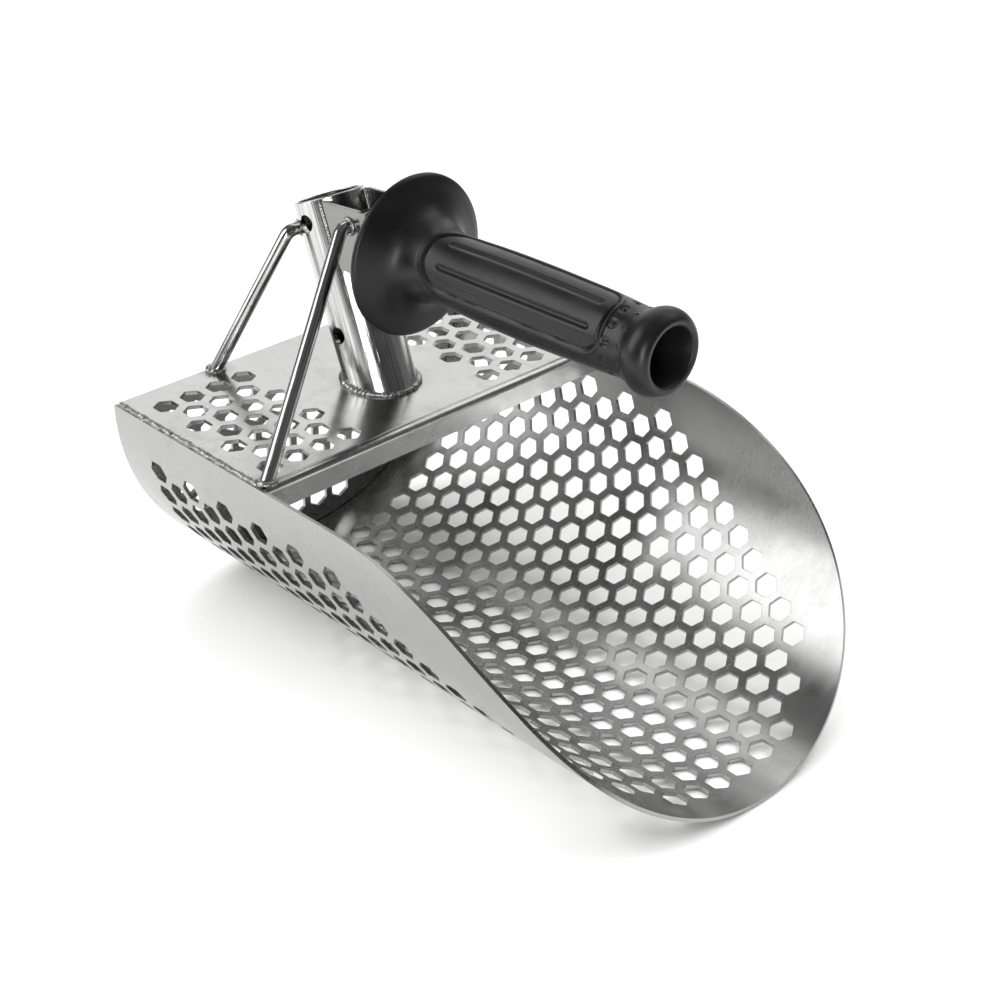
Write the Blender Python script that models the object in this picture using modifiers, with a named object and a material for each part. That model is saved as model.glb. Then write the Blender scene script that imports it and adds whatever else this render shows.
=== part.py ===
"""Stainless sand scoop with a welded shaft socket and a rubber hand grip.

Frame: metres, +Z up, -Y towards the lip, X across.  The origin lies under the middle of the
scoop, on the ground it lies on.  The driving dimensions are taken from the axis of the
half-round trough, at the foot of the shaft socket; one empty carries every piece from
there to the frame's origin.
"""
import math

import bmesh
import bpy
from mathutils import Matrix, Vector
from mathutils.geometry import delaunay_2d_cdt

MM = 0.001
GAP = 0.3 * MM                     # clearance kept between pieces that touch

# --- driving dimensions -------------------------------------------------------------
SHEET = 1.5 * MM                   # stainless sheet thickness
TROUGH_R = 81.6 * MM               # mid-surface radius of the half-round trough
WALL_TOP = 1.3 * MM                # height of the walls and the deck's top above the axis
REAR_Y = 50.5 * MM                 # rear edge of trough and deck
LIP_CENTRE_Y = -69.3 * MM          # centre of the elliptical lip in the flat blank
LIP_LENGTH = 118.2 * MM            # its half-length, towards the tip
PITCH = 11.0 * MM                  # spacing of the trough's hexagonal holes
HOLE_AF = 8.0 * MM                 # their width across flats
ROWS = range(-3, 19)               # rows of holes, counted towards the lip
WIDEST_ROW = 20                    # half-pitches from the middle to a full row's end

DECK_FRONT_Y = -33.4 * MM          # front face of the deck's turned-down flange
FLANGE_DROP = 10.2 * MM            # from the deck's top to the flange's lower edge
FOLD_R = 2.2 * MM                  # mid-surface radius of that fold
DECK_PITCH = 11.4 * MM             # spacing of the deck's holes
DECK_BLOCK_X = 50.3 * MM           # middle of each block of holes, from the middle plane
DECK_SHIFT = -2.2 * MM             # the cut pattern sits slightly to the left
DECK_FIRST_ROW_Y = -22.6 * MM
REAR_INSET = 1.5 * MM              # the rear plate sits this far inside the rear edge
REAR_HOLE_R = 73.5 * MM            # its hole centres stay within this radius
REAR_LOW_ROW = -69.3 * MM

SOCKET_R = 13.0 * MM               # 26 mm tube
SOCKET_WALL = 1.5 * MM
SOCKET_LENGTH = 70.6 * MM          # along its axis, from the trough's axis plane
SOCKET_Y = 0.6 * MM
SOCKET_LEAN = math.radians(22.3)   # leans back
BOLT_HOLE_R = 3.2 * MM
BOLT_HEIGHTS = (21.8 * MM, 63.0 * MM)

HANDLE_TILT = math.radians(1.6)    # the grip rises towards its end
GUARD_Y, GUARD_Z = -19.6 * MM, 56.4 * MM   # middle of the guard disc
BRACKET_HALF = 11.0 * MM
BRACKET_FRONT = 14.1 * MM          # front face, behind the guard disc
BRACKET_TOP, BRACKET_BOTTOM = 70.0 * MM, 45.3 * MM
BRACKET_TOP_REAR = 68.0 * MM       # its upper edge falls towards the socket
BRACKET_BEND = 3.5 * MM
CORE_R, CORE_WALL = 9.5 * MM, 1.5 * MM
CORE_REACH = 82.0 * MM             # how far the core goes into the grip past the guard
GRIP_BORE = 9.8 * MM

ROD_R = 2.45 * MM
FRONT_FOOT = Vector((77.6, -31.0, WALL_TOP / MM)) * MM
FRONT_ELBOW = Vector((14.6, 3.1, 63.3)) * MM
REAR_FOOT = Vector((39.4, 47.6, WALL_TOP / MM)) * MM
REAR_ELBOW = Vector((16.0, 31.1, 54.4)) * MM
BEAD_R = 1.0 * MM                  # radius of a weld bead
PUDDLE_R = 4.6 * MM                # size of a weld puddle round a rod

STEEL = ((0.62, 0.62, 0.61), 0.28, 1.0)
POLISHED = ((0.72, 0.72, 0.72), 0.12, 1.0)
WELD = ((0.36, 0.35, 0.34), 0.42, 1.0)
RUBBER = ((0.018, 0.018, 0.019), 0.48, 0.0)


# --- scene helpers ------------------------------------------------------------------
def clear_scene():
    for obj in list(bpy.data.objects):
        bpy.data.objects.remove(obj, do_unlink=True)


def new_collection(name):
    collection = bpy.data.collections.new(name)
    bpy.context.scene.collection.children.link(collection)
    return collection


clear_scene()
SCOOP = new_collection("sand_scoop")
CUTTERS = new_collection("cutters")


def finish_material(name, look):
    colour, roughness, metallic = look
    material = bpy.data.materials.new(name)
    material.use_nodes = True
    shader = material.node_tree.nodes["Principled BSDF"]
    shader.inputs["Base Color"].default_value = (*colour, 1.0)
    shader.inputs["Roughness"].default_value = roughness
    shader.inputs["Metallic"].default_value = metallic
    material.diffuse_color = (*colour, 1.0)
    return material


def add_empty(name, location, parent=None):
    empty = bpy.data.objects.new(name, None)
    SCOOP.objects.link(empty)
    empty.location = location
    empty.parent = parent
    return empty


FRAME_SHIFT = ((LIP_LENGTH - LIP_CENTRE_Y - REAR_FOOT.y - PUDDLE_R) / 2, TROUGH_R + SHEET / 2)
AXIS = add_empty("trough_axis", (0.0, *FRAME_SHIFT))


def add_piece(name, mesh, look, parent=AXIS, sharp=30):
    """A named piece with its own material, shaded smooth up to the sharp angle."""
    obj = bpy.data.objects.new(name, mesh)
    SCOOP.objects.link(obj)
    mesh.materials.clear()
    mesh.materials.append(finish_material(name + "_finish", look))
    mesh.shade_smooth()
    mesh.set_sharp_from_angle(angle=math.radians(sharp))
    obj.parent = parent
    return obj


def mesh_from_bmesh(name, bm):
    bmesh.ops.recalc_face_normals(bm, faces=bm.faces)
    mesh = bpy.data.meshes.new(name)
    bm.to_mesh(mesh)
    bm.free()
    return mesh


def add_cutter(name, mesh):
    obj = bpy.data.objects.new(name, mesh)
    CUTTERS.objects.link(obj)
    obj.hide_render = True
    obj.display_type = "WIRE"
    obj.parent = AXIS
    return obj


def boolean(obj, cutter, operation="DIFFERENCE"):
    modifier = obj.modifiers.new(operation.lower() + "_" + cutter.name, "BOOLEAN")
    modifier.object = cutter
    modifier.operation = operation
    modifier.solver = "EXACT"


def along(direction):
    """Rotation that turns +Z to a direction."""
    return Vector(direction).to_track_quat("Z", "Y").to_matrix().to_4x4()


def cylinder_mesh(name, start, end, radius, segments=32):
    """A capped cylinder between two points."""
    start, end = Vector(start), Vector(end)
    bm = bmesh.new()
    bmesh.ops.create_cone(bm, cap_ends=True, segments=segments, radius1=radius, radius2=radius,
                          depth=(end - start).length)
    bmesh.ops.transform(bm, matrix=Matrix.Translation((start + end) / 2) @ along(end - start),
                        verts=bm.verts)
    return mesh_from_bmesh(name, bm)


def box_mesh(name, low, high):
    """A box between two corners."""
    low, high = Vector(low), Vector(high)
    bm = bmesh.new()
    bmesh.ops.create_cube(bm, size=1.0)
    bmesh.ops.transform(bm, matrix=Matrix.Translation((low + high) / 2)
                        @ Matrix.Diagonal((*(high - low), 1.0)), verts=bm.verts)
    return mesh_from_bmesh(name, bm)


def wire_mesh(name, points, radius, closed=False, resolution=2):
    """A round wire through points, as a mesh with welded caps."""
    curve = bpy.data.curves.new(name, "CURVE")
    curve.dimensions = "3D"
    curve.bevel_depth = radius
    curve.bevel_resolution = resolution
    curve.use_fill_caps = not closed
    spline = curve.splines.new("POLY")
    spline.points.add(len(points) - 1)
    for slot, point in zip(spline.points, points):
        slot.co = (*point, 1.0)
    spline.use_cyclic_u = closed
    holder = bpy.data.objects.new(name + "_curve", curve)
    CUTTERS.objects.link(holder)
    bpy.context.view_layer.update()
    mesh = bpy.data.meshes.new_from_object(
        holder.evaluated_get(bpy.context.evaluated_depsgraph_get()))
    bpy.data.objects.remove(holder, do_unlink=True)
    bm = bmesh.new()
    bm.from_mesh(mesh)
    bmesh.ops.remove_doubles(bm, verts=bm.verts, dist=0.00001)
    bpy.data.meshes.remove(mesh)
    return mesh_from_bmesh(name, bm)


# --- perforated sheet ---------------------------------------------------------------
def hexagon(x, y, across_flats):
    """Corners of a hexagon with two of them on its y axis."""
    radius = across_flats / math.sqrt(3)
    return [(x + radius * math.cos(math.radians(a)), y + radius * math.sin(math.radians(a)))
            for a in range(30, 390, 60)]


def perforated_blank(outline, holes, loose=(), creases=()):
    """Triangles of a flat blank with hexagonal holes, as 2D points and faces.

    Loose points break up wide blank areas; a crease is a line that no triangle crosses.
    """
    points, edges, ring_of = [], [], []
    for number, ring in enumerate([outline] + [hexagon(x, y, HOLE_AF) for x, y in holes]):
        first = len(points)
        points += [Vector(p) for p in ring]
        ring_of += [number] * len(ring)
        edges += [(first + i, first + (i + 1) % len(ring)) for i in range(len(ring))]
    for line in creases:
        first = len(points)
        points += [Vector(p) for p in line]
        edges += [(first + i, first + i + 1) for i in range(len(line) - 1)]
    points += [Vector(p) for p in loose]
    ring_of += [0] * (len(points) - len(ring_of))
    inside_outline = 1
    flat, _, faces, sources, *_ = delaunay_2d_cdt(points, edges, [], inside_outline, 0.000001)
    rings = [ring_of[source[0]] for source in sources]
    solid = [f for f in faces if rings[f[0]] == 0 or len({rings[i] for i in f}) > 1]
    return flat, solid


def sheet_mesh(name, flat, faces, place):
    """The blank's mesh, each 2D point sent to 3D by place."""
    bm = bmesh.new()
    verts = [bm.verts.new(place(p.x, p.y)) for p in flat]
    for face in faces:
        bm.faces.new([verts[i] for i in face])
    loose = [v for v in bm.verts if not v.link_faces]
    bmesh.ops.delete(bm, geom=loose, context="VERTS")
    mesh = bpy.data.meshes.new(name)
    bm.to_mesh(mesh)
    bm.free()
    return mesh


def thicken(obj):
    """Solidify a mid-surface to the sheet's thickness."""
    modifier = obj.modifiers.new("sheet", "SOLIDIFY")
    modifier.thickness = SHEET
    modifier.offset = 0.0
    modifier.use_even_offset = False


def spread(low, high, count):
    """Evenly spaced values from low to high."""
    return [low + (high - low) * i / (count - 1) for i in range(count)]


# --- trough -------------------------------------------------------------------------
QUARTER_ARC = TROUGH_R * math.pi / 2
BLANK_HALF = QUARTER_ARC + WALL_TOP        # half-width of the flat blank


def roll(u, y):
    """Blank to trough: round up to the axis plane, then straight up."""
    side = math.copysign(1.0, u)
    if abs(u) > QUARTER_ARC:
        return Vector((side * TROUGH_R, y, abs(u) - QUARTER_ARC))
    angle = u / TROUGH_R
    return Vector((TROUGH_R * math.sin(angle), y, -TROUGH_R * math.cos(angle)))


def trough_holes():
    """Centres of the trough's holes; the rows shorten towards the lip."""
    holes = []
    for row in ROWS:
        reach = min(WIDEST_ROW, 27 - row, 59 - 3 * row)
        for step in range(-reach, reach + 1):
            if (step + row) % 2:
                holes.append((step * PITCH / 2, -row * PITCH * math.sqrt(3) / 2))
    return holes


def build_trough():
    lip_turns = [math.radians(a) for a in spread(0, 180, 61)]
    lip = [(-BLANK_HALF * math.cos(a), LIP_CENTRE_Y - LIP_LENGTH * math.sin(a))
           for a in lip_turns]
    rear = [(u, REAR_Y) for u in spread(BLANK_HALF, -BLANK_HALF, 33)]
    flank = spread(LIP_CENTRE_Y, REAR_Y, 9)[1:-1]
    outline = (lip + [(BLANK_HALF, y) for y in flank] + rear
               + [(-BLANK_HALF, y) for y in reversed(flank)])
    between = (WIDEST_ROW * PITCH / 2 + QUARTER_ARC) / 2
    loose = [(side * u, y) for side in (-1, 1) for y in flank for u in (between, QUARTER_ARC)]
    flat, faces = perforated_blank(outline, trough_holes(), loose)
    trough = add_piece("trough_sheet", sheet_mesh("trough_sheet", flat, faces, roll), STEEL)
    thicken(trough)


# --- deck and rear plate ------------------------------------------------------------
INNER_HALF = TROUGH_R - SHEET / 2 - GAP    # half-width of what sits between the walls


def deck_holes():
    """Two blocks of seven rows of four and three holes."""
    holes = []
    for side in (-1, 1):
        for row in range(7):
            count = 4 - row % 2
            for i in range(count):
                x = side * DECK_BLOCK_X + (i - (count - 1) / 2) * DECK_PITCH + DECK_SHIFT
                holes.append((x, DECK_FIRST_ROW_Y + row * DECK_PITCH * math.sqrt(3) / 2))
    return holes


def fold(x, y):
    """Blank to deck: flat behind the fold, round it, then straight down."""
    mid = WALL_TOP - SHEET / 2
    start = DECK_FRONT_Y + SHEET / 2 + FOLD_R
    past = start - y
    bend = FOLD_R * math.pi / 2
    if past <= 0:
        return Vector((x, y, mid))
    if past < bend:
        angle = past / FOLD_R
        return Vector((x, start - FOLD_R * math.sin(angle), mid - FOLD_R * (1 - math.cos(angle))))
    return Vector((x, start - FOLD_R, mid - FOLD_R - (past - bend)))


def build_deck():
    start = DECK_FRONT_Y + SHEET / 2 + FOLD_R
    bend = FOLD_R * math.pi / 2
    drop = FLANGE_DROP - SHEET / 2 - FOLD_R
    front = start - bend - drop
    flange_half = math.sqrt((TROUGH_R - SHEET / 2) ** 2 - FLANGE_DROP ** 2) - 2 * GAP
    bend_lines = [start - bend * i / 4 for i in range(5)]
    outline = ([(-flange_half, front), (flange_half, front)]
               + [(INNER_HALF, y) for y in reversed(bend_lines)]
               + [(INNER_HALF, REAR_Y), (-INNER_HALF, REAR_Y)]
               + [(-INNER_HALF, y) for y in bend_lines])
    creases = [[(x, y) for x in spread(-INNER_HALF, INNER_HALF, 9)] for y in bend_lines]
    flat, faces = perforated_blank(outline, deck_holes(), creases=creases)
    deck = add_piece("deck_plate", sheet_mesh("deck_plate", flat, faces, fold), STEEL)
    thicken(deck)


def rear_holes():
    """Rows of holes that fill the half-round rear plate."""
    holes = []
    for row in range(7):
        z = REAR_LOW_ROW + row * PITCH * math.sqrt(3) / 2
        for step in range(-13, 14):
            x = step * PITCH / 2
            if (step + row) % 2 and math.hypot(x, z) < REAR_HOLE_R:
                holes.append((x, z))
    return holes


def build_rear_plate():
    radius = TROUGH_R - SHEET / 2 - GAP
    top = WALL_TOP - SHEET - GAP
    reach = math.acos(-top / radius)
    arc = [(radius * math.sin(a), -radius * math.cos(a)) for a in spread(-reach, reach, 49)]
    flat, faces = perforated_blank(arc, rear_holes())
    middle = REAR_Y - REAR_INSET - SHEET / 2
    mesh = sheet_mesh("rear_plate", flat, faces, lambda x, z: Vector((x, middle, z)))
    thicken(add_piece("rear_plate", mesh, STEEL))


# --- shaft socket -------------------------------------------------------------------
SOCKET_AXIS = Vector((0.0, math.sin(SOCKET_LEAN), math.cos(SOCKET_LEAN)))
SOCKET_FORWARD = Vector((0.0, -math.cos(SOCKET_LEAN), math.sin(SOCKET_LEAN)))
SOCKET_BASE = Vector((0.0, SOCKET_Y, 0.0))


def on_socket(height, x=0.0, forward=0.0):
    """A point in the socket's own frame."""
    return SOCKET_BASE + SOCKET_AXIS * height + SOCKET_FORWARD * forward + Vector((x, 0, 0))


def build_socket():
    below = -12 * MM
    tube = add_piece("shaft_socket", cylinder_mesh("shaft_socket", on_socket(below),
                     on_socket(SOCKET_LENGTH), SOCKET_R, 48), POLISHED)
    bore = add_cutter("socket_bore", cylinder_mesh("socket_bore", on_socket(2 * below),
                      on_socket(SOCKET_LENGTH - below), SOCKET_R - SOCKET_WALL, 48))
    boolean(tube, bore)
    floor = add_cutter("socket_floor", box_mesh("socket_floor", (-0.04, -0.04, -0.04),
                       (0.04, 0.04, WALL_TOP + GAP)))
    boolean(tube, floor)
    for number, height in enumerate(BOLT_HEIGHTS):
        name = "bolt_hole_%d" % (number + 1)
        hole = add_cutter(name, cylinder_mesh(name, on_socket(height, -0.03),
                          on_socket(height, 0.03), BOLT_HOLE_R, 20))
        boolean(tube, hole)


# --- handle -------------------------------------------------------------------------
def handle_origin():
    """An empty at the middle of the guard disc: its -Y runs along the grip."""
    origin = add_empty("handle_axis", (0.0, GUARD_Y, GUARD_Z), AXIS)
    origin.rotation_euler = (-HANDLE_TILT, 0.0, 0.0)
    return origin


def bracket_profile():
    """The channel's mid-line seen from above: a U that opens to the rear."""
    half = BRACKET_HALF - SHEET / 2
    front = BRACKET_FRONT + SHEET / 2
    radius = BRACKET_BEND - SHEET / 2
    corner = [math.radians(a) for a in spread(0, 90, 5)]
    left = [(-half + radius * (1 - math.cos(a)), front + radius * (1 - math.sin(a)))
            for a in corner]
    return ([(-half, 50 * MM)] + left + [(-x, y) for x, y in reversed(left)]
            + [(half, 50 * MM)])


def bracket_side(grow):
    """Side outline of the channel in y and z: its rear edge follows the socket."""
    clear = (SOCKET_R - 3.5 * MM) / math.cos(SOCKET_LEAN) + GAP
    rear = [(SOCKET_Y + z * math.tan(SOCKET_LEAN) - clear, z)
            for z in (BRACKET_TOP_REAR, BRACKET_BOTTOM)]
    front = GUARD_Y + BRACKET_FRONT
    return [rear[0], (front, BRACKET_TOP), (front - grow, BRACKET_TOP),
            (front - grow, BRACKET_BOTTOM), rear[1]]


def build_bracket(origin):
    bm = bmesh.new()
    low, high = -20 * MM, 20 * MM
    previous = None
    for x, y in bracket_profile():
        pair = [bm.verts.new((x, y, z)) for z in (low, high)]
        if previous:
            bm.faces.new((previous[0], pair[0], pair[1], previous[1]))
        previous = pair
    mesh = bpy.data.meshes.new("handle_bracket")
    bm.to_mesh(mesh)
    bm.free()
    bracket = add_piece("handle_bracket", mesh, POLISHED, origin)
    thicken(bracket)
    bm = bmesh.new()
    side = [bm.verts.new((-0.03, y, z)) for y, z in bracket_side(10 * MM)]
    face = bm.faces.new(side)
    extruded = bmesh.ops.extrude_face_region(bm, geom=[face])
    moved = [v for v in extruded["geom"] if isinstance(v, bmesh.types.BMVert)]
    bmesh.ops.translate(bm, verts=moved, vec=(0.06, 0.0, 0.0))
    boolean(bracket, add_cutter("bracket_side", mesh_from_bmesh("bracket_side", bm)), "INTERSECT")


def build_core(origin):
    rear, front = BRACKET_FRONT - GAP, -CORE_REACH
    core = add_piece("handle_core", cylinder_mesh("handle_core", (0, rear, 0), (0, front, 0),
                     CORE_R, 32), STEEL, origin)
    bore = add_cutter("core_bore", cylinder_mesh("core_bore", (0, rear + 0.01, 0),
                      (0, front - 0.01, 0), CORE_R - CORE_WALL, 32))
    bore.parent = origin
    boolean(core, bore)


GRIP_PROFILE = (                   # distance past the guard disc, radius, in millimetres
    (-7.0, 13.2), (-1.6, 13.6), (-1.4, 27.9), (-0.4, 28.8), (0.7, 28.6), (1.7, 26.0),
    (2.6, 22.6), (4.6, 18.6), (8.0, 15.2), (13.0, 13.1), (22.0, 12.6), (42.0, 13.3),
    (60.0, 13.35), (78.0, 13.0), (93.0, 12.5), (99.0, 12.1), (104.0, 12.0), (106.2, 12.4),
    (108.3, 13.7), (111.0, 14.75), (114.2, 14.2), (116.8, 12.8), (117.6, 11.0),
    (117.2, 10.1))


def build_grip(origin):
    rear, tip = GRIP_PROFILE[0][0] * MM, GRIP_PROFILE[-1][0] * MM
    ring = [(x * MM, r * MM) for x, r in GRIP_PROFILE]
    ring += [(tip - 0.6 * MM, GRIP_BORE), (tip / 2, GRIP_BORE), (rear, GRIP_BORE)]
    bm = bmesh.new()
    verts = [bm.verts.new((r, -x, 0.0)) for x, r in ring]
    edges = [bm.edges.new((verts[i], verts[(i + 1) % len(verts)])) for i in range(len(verts))]
    bmesh.ops.spin(bm, geom=verts + edges, cent=(0, 0, 0), axis=(0, 1, 0), angle=math.tau,
                   steps=32, use_merge=True)
    bmesh.ops.remove_doubles(bm, verts=bm.verts, dist=0.00001)
    add_piece("rubber_grip", mesh_from_bmesh("rubber_grip", bm), RUBBER, origin)


# --- brace rods ---------------------------------------------------------------------
def filleted(foot, elbow, end, radius, steps=5):
    """A path from foot to end whose corner at the elbow is an arc-like curve."""
    into, out = (elbow - foot).normalized(), (end - elbow).normalized()
    first, last = elbow - into * radius, elbow + out * radius
    bend = [first.lerp(elbow, t).lerp(elbow.lerp(last, t), t) for t in spread(0, 1, steps)]
    return [foot] + bend + [end]


def rod_foot(foot, elbow):
    """Raises a rod's end so that its slanted face clears the deck."""
    run = (elbow - foot).normalized()
    lift = GAP + ROD_R * math.sqrt(1 - run.z ** 2)
    return foot + run * (lift / run.z)


def mirrored(point, side):
    return Vector((side * point.x, point.y, point.z))


def socket_side_x(y, z, radius):
    """How far out the socket's surface lies beside a point of the middle plane."""
    point = Vector((0.0, y, z)) - SOCKET_BASE
    off_axis = abs(point.dot(SOCKET_FORWARD))
    return math.sqrt(radius ** 2 - max(off_axis - ROD_R, 0.0) ** 2)


def half_space(name, low, high):
    return add_cutter(name, box_mesh(name, low, high))


def puddle(name, centre, flatten, cutters):
    """A flattened weld puddle, cut clear of what it joins."""
    bm = bmesh.new()
    bmesh.ops.create_uvsphere(bm, u_segments=14, v_segments=8, radius=PUDDLE_R)
    bmesh.ops.transform(bm, matrix=Matrix.Translation(centre) @ Matrix.Diagonal((*flatten, 1.0)),
                        verts=bm.verts)
    weld = add_piece(name, mesh_from_bmesh(name, bm), WELD)
    for cutter in cutters:
        boolean(weld, cutter)


def build_brace(end_name, side_name, side, foot, elbow, end_x):
    """One rod with its foot weld and its top weld."""
    name = "%s_%s_brace" % (end_name, side_name)
    foot, elbow = mirrored(foot, side), mirrored(elbow, side)
    end = Vector((side * end_x, elbow.y, elbow.z))
    path = filleted(rod_foot(foot, elbow), elbow, end, 2.2 * MM)
    add_piece(name, wire_mesh(name, path, ROD_R), POLISHED)
    run = (elbow - foot).normalized()
    lower = add_cutter(name + "_lower", cylinder_mesh(name + "_lower", foot - run * 0.01,
                       foot + run * 0.02, ROD_R + GAP, 16))
    deck_top = half_space(name + "_deck", (-0.1, -0.2, -0.05), (0.1, 0.1, WALL_TOP + GAP))
    puddle(name + "_foot_weld", foot, (1.0, 1.0, 0.75), [deck_top, lower])
    upper = add_cutter(name + "_upper", cylinder_mesh(name + "_upper", elbow,
                       end + Vector((-side * 0.01, 0, 0)), ROD_R + GAP, 16))
    return end, upper, name + "_top_weld"


def build_braces():
    flange = BRACKET_HALF + GAP
    for side_name, side in (("left", -1), ("right", 1)):
        end, stub, weld = build_brace("front", side_name, side, FRONT_FOOT, FRONT_ELBOW,
                                      flange + 0.05 * MM)
        inside = half_space(weld + "_flange", (-flange, -0.05, 0.0), (flange, 0.05, 0.1))
        puddle(weld, end, (0.45, 0.9, 0.9), [inside, stub])
        wall = socket_side_x(REAR_ELBOW.y, REAR_ELBOW.z, SOCKET_R + GAP)
        end, stub, weld = build_brace("rear", side_name, side, REAR_FOOT, REAR_ELBOW,
                                      wall + 0.05 * MM)
        tube = add_cutter(weld + "_tube", cylinder_mesh(weld + "_tube", on_socket(0.03),
                          on_socket(0.09), SOCKET_R + GAP, 48))
        puddle(weld, end, (0.4, 0.9, 0.9), [tube, stub])


# --- weld beads ---------------------------------------------------------------------
def add_bead(name, points, radius=BEAD_R, closed=False, parent=AXIS):
    add_piece(name, wire_mesh(name, points, radius, closed), WELD, parent)


def build_beads(origin):
    lift = WALL_TOP + GAP + BEAD_R
    for side_name, side in (("left", -1), ("right", 1)):
        x = side * (TROUGH_R - 0.5 * MM)
        add_bead(side_name + "_seam_weld", [(x, y, lift) for y in spread(-24.5 * MM, 49 * MM, 6)])
        out = SOCKET_R + GAP + BEAD_R
        forward = 8.0 * MM
        x = side * math.sqrt(out ** 2 - forward ** 2)
        add_bead(side_name + "_bracket_weld", [on_socket(h, x, forward)
                 for h in spread(53 * MM, 69.5 * MM, 4)])
    ring_r = SOCKET_R + GAP + 1.2 * BEAD_R
    ring = []
    for a in spread(0, math.tau, 37)[:-1]:
        x, forward = ring_r * math.cos(a), ring_r * math.sin(a)
        level = WALL_TOP + GAP + 1.2 * BEAD_R
        height = (level - forward * SOCKET_FORWARD.z) / SOCKET_AXIS.z
        ring.append(on_socket(height, x, forward))
    add_bead("socket_base_weld", ring, 1.15 * BEAD_R, closed=True)
    y = REAR_Y - REAR_INSET + GAP + 0.9 * BEAD_R
    arc_r = TROUGH_R - SHEET / 2 - GAP - 0.9 * BEAD_R
    arc = [(arc_r * math.sin(a), y, -arc_r * math.cos(a))
           for a in [math.radians(d) for d in spread(-84, 84, 43)]]
    add_bead("rear_arc_weld", arc, 0.85 * BEAD_R)
    z = WALL_TOP - SHEET - GAP - 0.9 * BEAD_R
    add_bead("rear_top_weld", [(x, y, z) for x in spread(-72 * MM, 72 * MM, 5)], 0.85 * BEAD_R)
    core_ring = CORE_R + GAP + BEAD_R
    face = BRACKET_FRONT - GAP - BEAD_R
    add_bead("handle_core_weld", [(core_ring * math.cos(a), face, core_ring * math.sin(a))
             for a in spread(0, math.tau, 33)[:-1]], closed=True, parent=origin)


def main():
    build_trough()
    build_deck()
    build_rear_plate()
    build_socket()
    origin = handle_origin()
    build_bracket(origin)
    build_core(origin)
    build_grip(origin)
    build_braces()
    build_beads(origin)


main()
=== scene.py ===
"""Looks of a stainless sand scoop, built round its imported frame.

The scoop is a half-round sieve trough with a folded deck and a rear plate, a polished shaft
socket held by four brace rods, a bent channel that carries a rubber hand grip, and the weld
beads that join them.

Sizes in the classes are millimetres.  Every piece is laid out on the bench, a frame whose
origin is on the trough's axis at the foot of the socket, and is then carried to the frame of
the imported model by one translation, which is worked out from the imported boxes.
"""

import logging
import math
from collections.abc import Callable, Iterable, Sequence
from dataclasses import dataclass, field
from enum import Enum

import bmesh
import bpy
from mathutils import Matrix, Vector, noise
from mathutils.geometry import delaunay_2d_cdt


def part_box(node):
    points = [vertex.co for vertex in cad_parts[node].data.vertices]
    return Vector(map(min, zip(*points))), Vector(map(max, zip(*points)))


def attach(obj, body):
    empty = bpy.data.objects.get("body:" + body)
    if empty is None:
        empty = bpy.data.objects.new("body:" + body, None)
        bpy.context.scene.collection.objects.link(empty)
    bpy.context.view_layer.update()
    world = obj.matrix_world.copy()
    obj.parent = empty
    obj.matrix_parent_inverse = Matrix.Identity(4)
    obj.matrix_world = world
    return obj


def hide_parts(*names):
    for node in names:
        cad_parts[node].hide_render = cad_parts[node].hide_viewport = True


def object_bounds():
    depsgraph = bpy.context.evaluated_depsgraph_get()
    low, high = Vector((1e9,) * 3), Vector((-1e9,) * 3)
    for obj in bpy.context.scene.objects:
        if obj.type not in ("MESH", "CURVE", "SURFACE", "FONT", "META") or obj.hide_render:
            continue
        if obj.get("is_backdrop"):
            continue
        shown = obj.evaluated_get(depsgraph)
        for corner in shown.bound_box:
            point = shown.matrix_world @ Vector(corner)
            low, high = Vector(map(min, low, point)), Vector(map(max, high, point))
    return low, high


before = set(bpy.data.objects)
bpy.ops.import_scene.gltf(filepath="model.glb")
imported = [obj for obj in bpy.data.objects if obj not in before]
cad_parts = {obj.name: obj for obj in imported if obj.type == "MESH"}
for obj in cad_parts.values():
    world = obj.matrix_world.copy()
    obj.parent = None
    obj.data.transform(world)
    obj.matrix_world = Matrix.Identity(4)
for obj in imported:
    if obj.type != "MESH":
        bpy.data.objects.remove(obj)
CAD_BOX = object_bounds()

log = logging.getLogger("sand_scoop")

MM = 0.001
ROOT_3 = math.sqrt(3)
CORNER = math.radians(12)  # least turn of an outline that counts as a corner
ROUND_FACE = 0.985  # least cosine between a round face's normal and its radius
BODY = "root"

Point2 = tuple[float, float]
Placer = Callable[[float, float, float], Vector]
Ring = list[tuple[Vector, Vector]]
Socket = bpy.types.NodeSocket


class Side(Enum):
    """Left and right of the scoop, seen from behind the grip's end."""

    LEFT = -1
    RIGHT = 1


class Slot(Enum):
    """The record's material slots."""

    SATIN = "satin_steel"
    POLISHED = "polished_steel"
    WELD = "weld_bead"
    RUBBER = "grip_rubber"


class Grain(Enum):
    """Which way the brushing lines run on a sheet's blank."""

    ACROSS = 0
    ALONG = 1


# --- small helpers ------------------------------------------------------------------
def spread(low: float, high: float, count: int) -> list[float]:
    """Evenly spaced values.

    Args:
        low: the first value.
        high: the last value.
        count: how many values, two or more.

    Returns:
        The values from low to high, both included.
    """
    return [low + (high - low) * i / (count - 1) for i in range(count)]


def ease(value: float) -> float:
    """Smooth step from 0 at 0 to 1 at 1, level outside."""
    value = min(max(value, 0.0), 1.0)
    return value * value * (3 - 2 * value)


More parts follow.
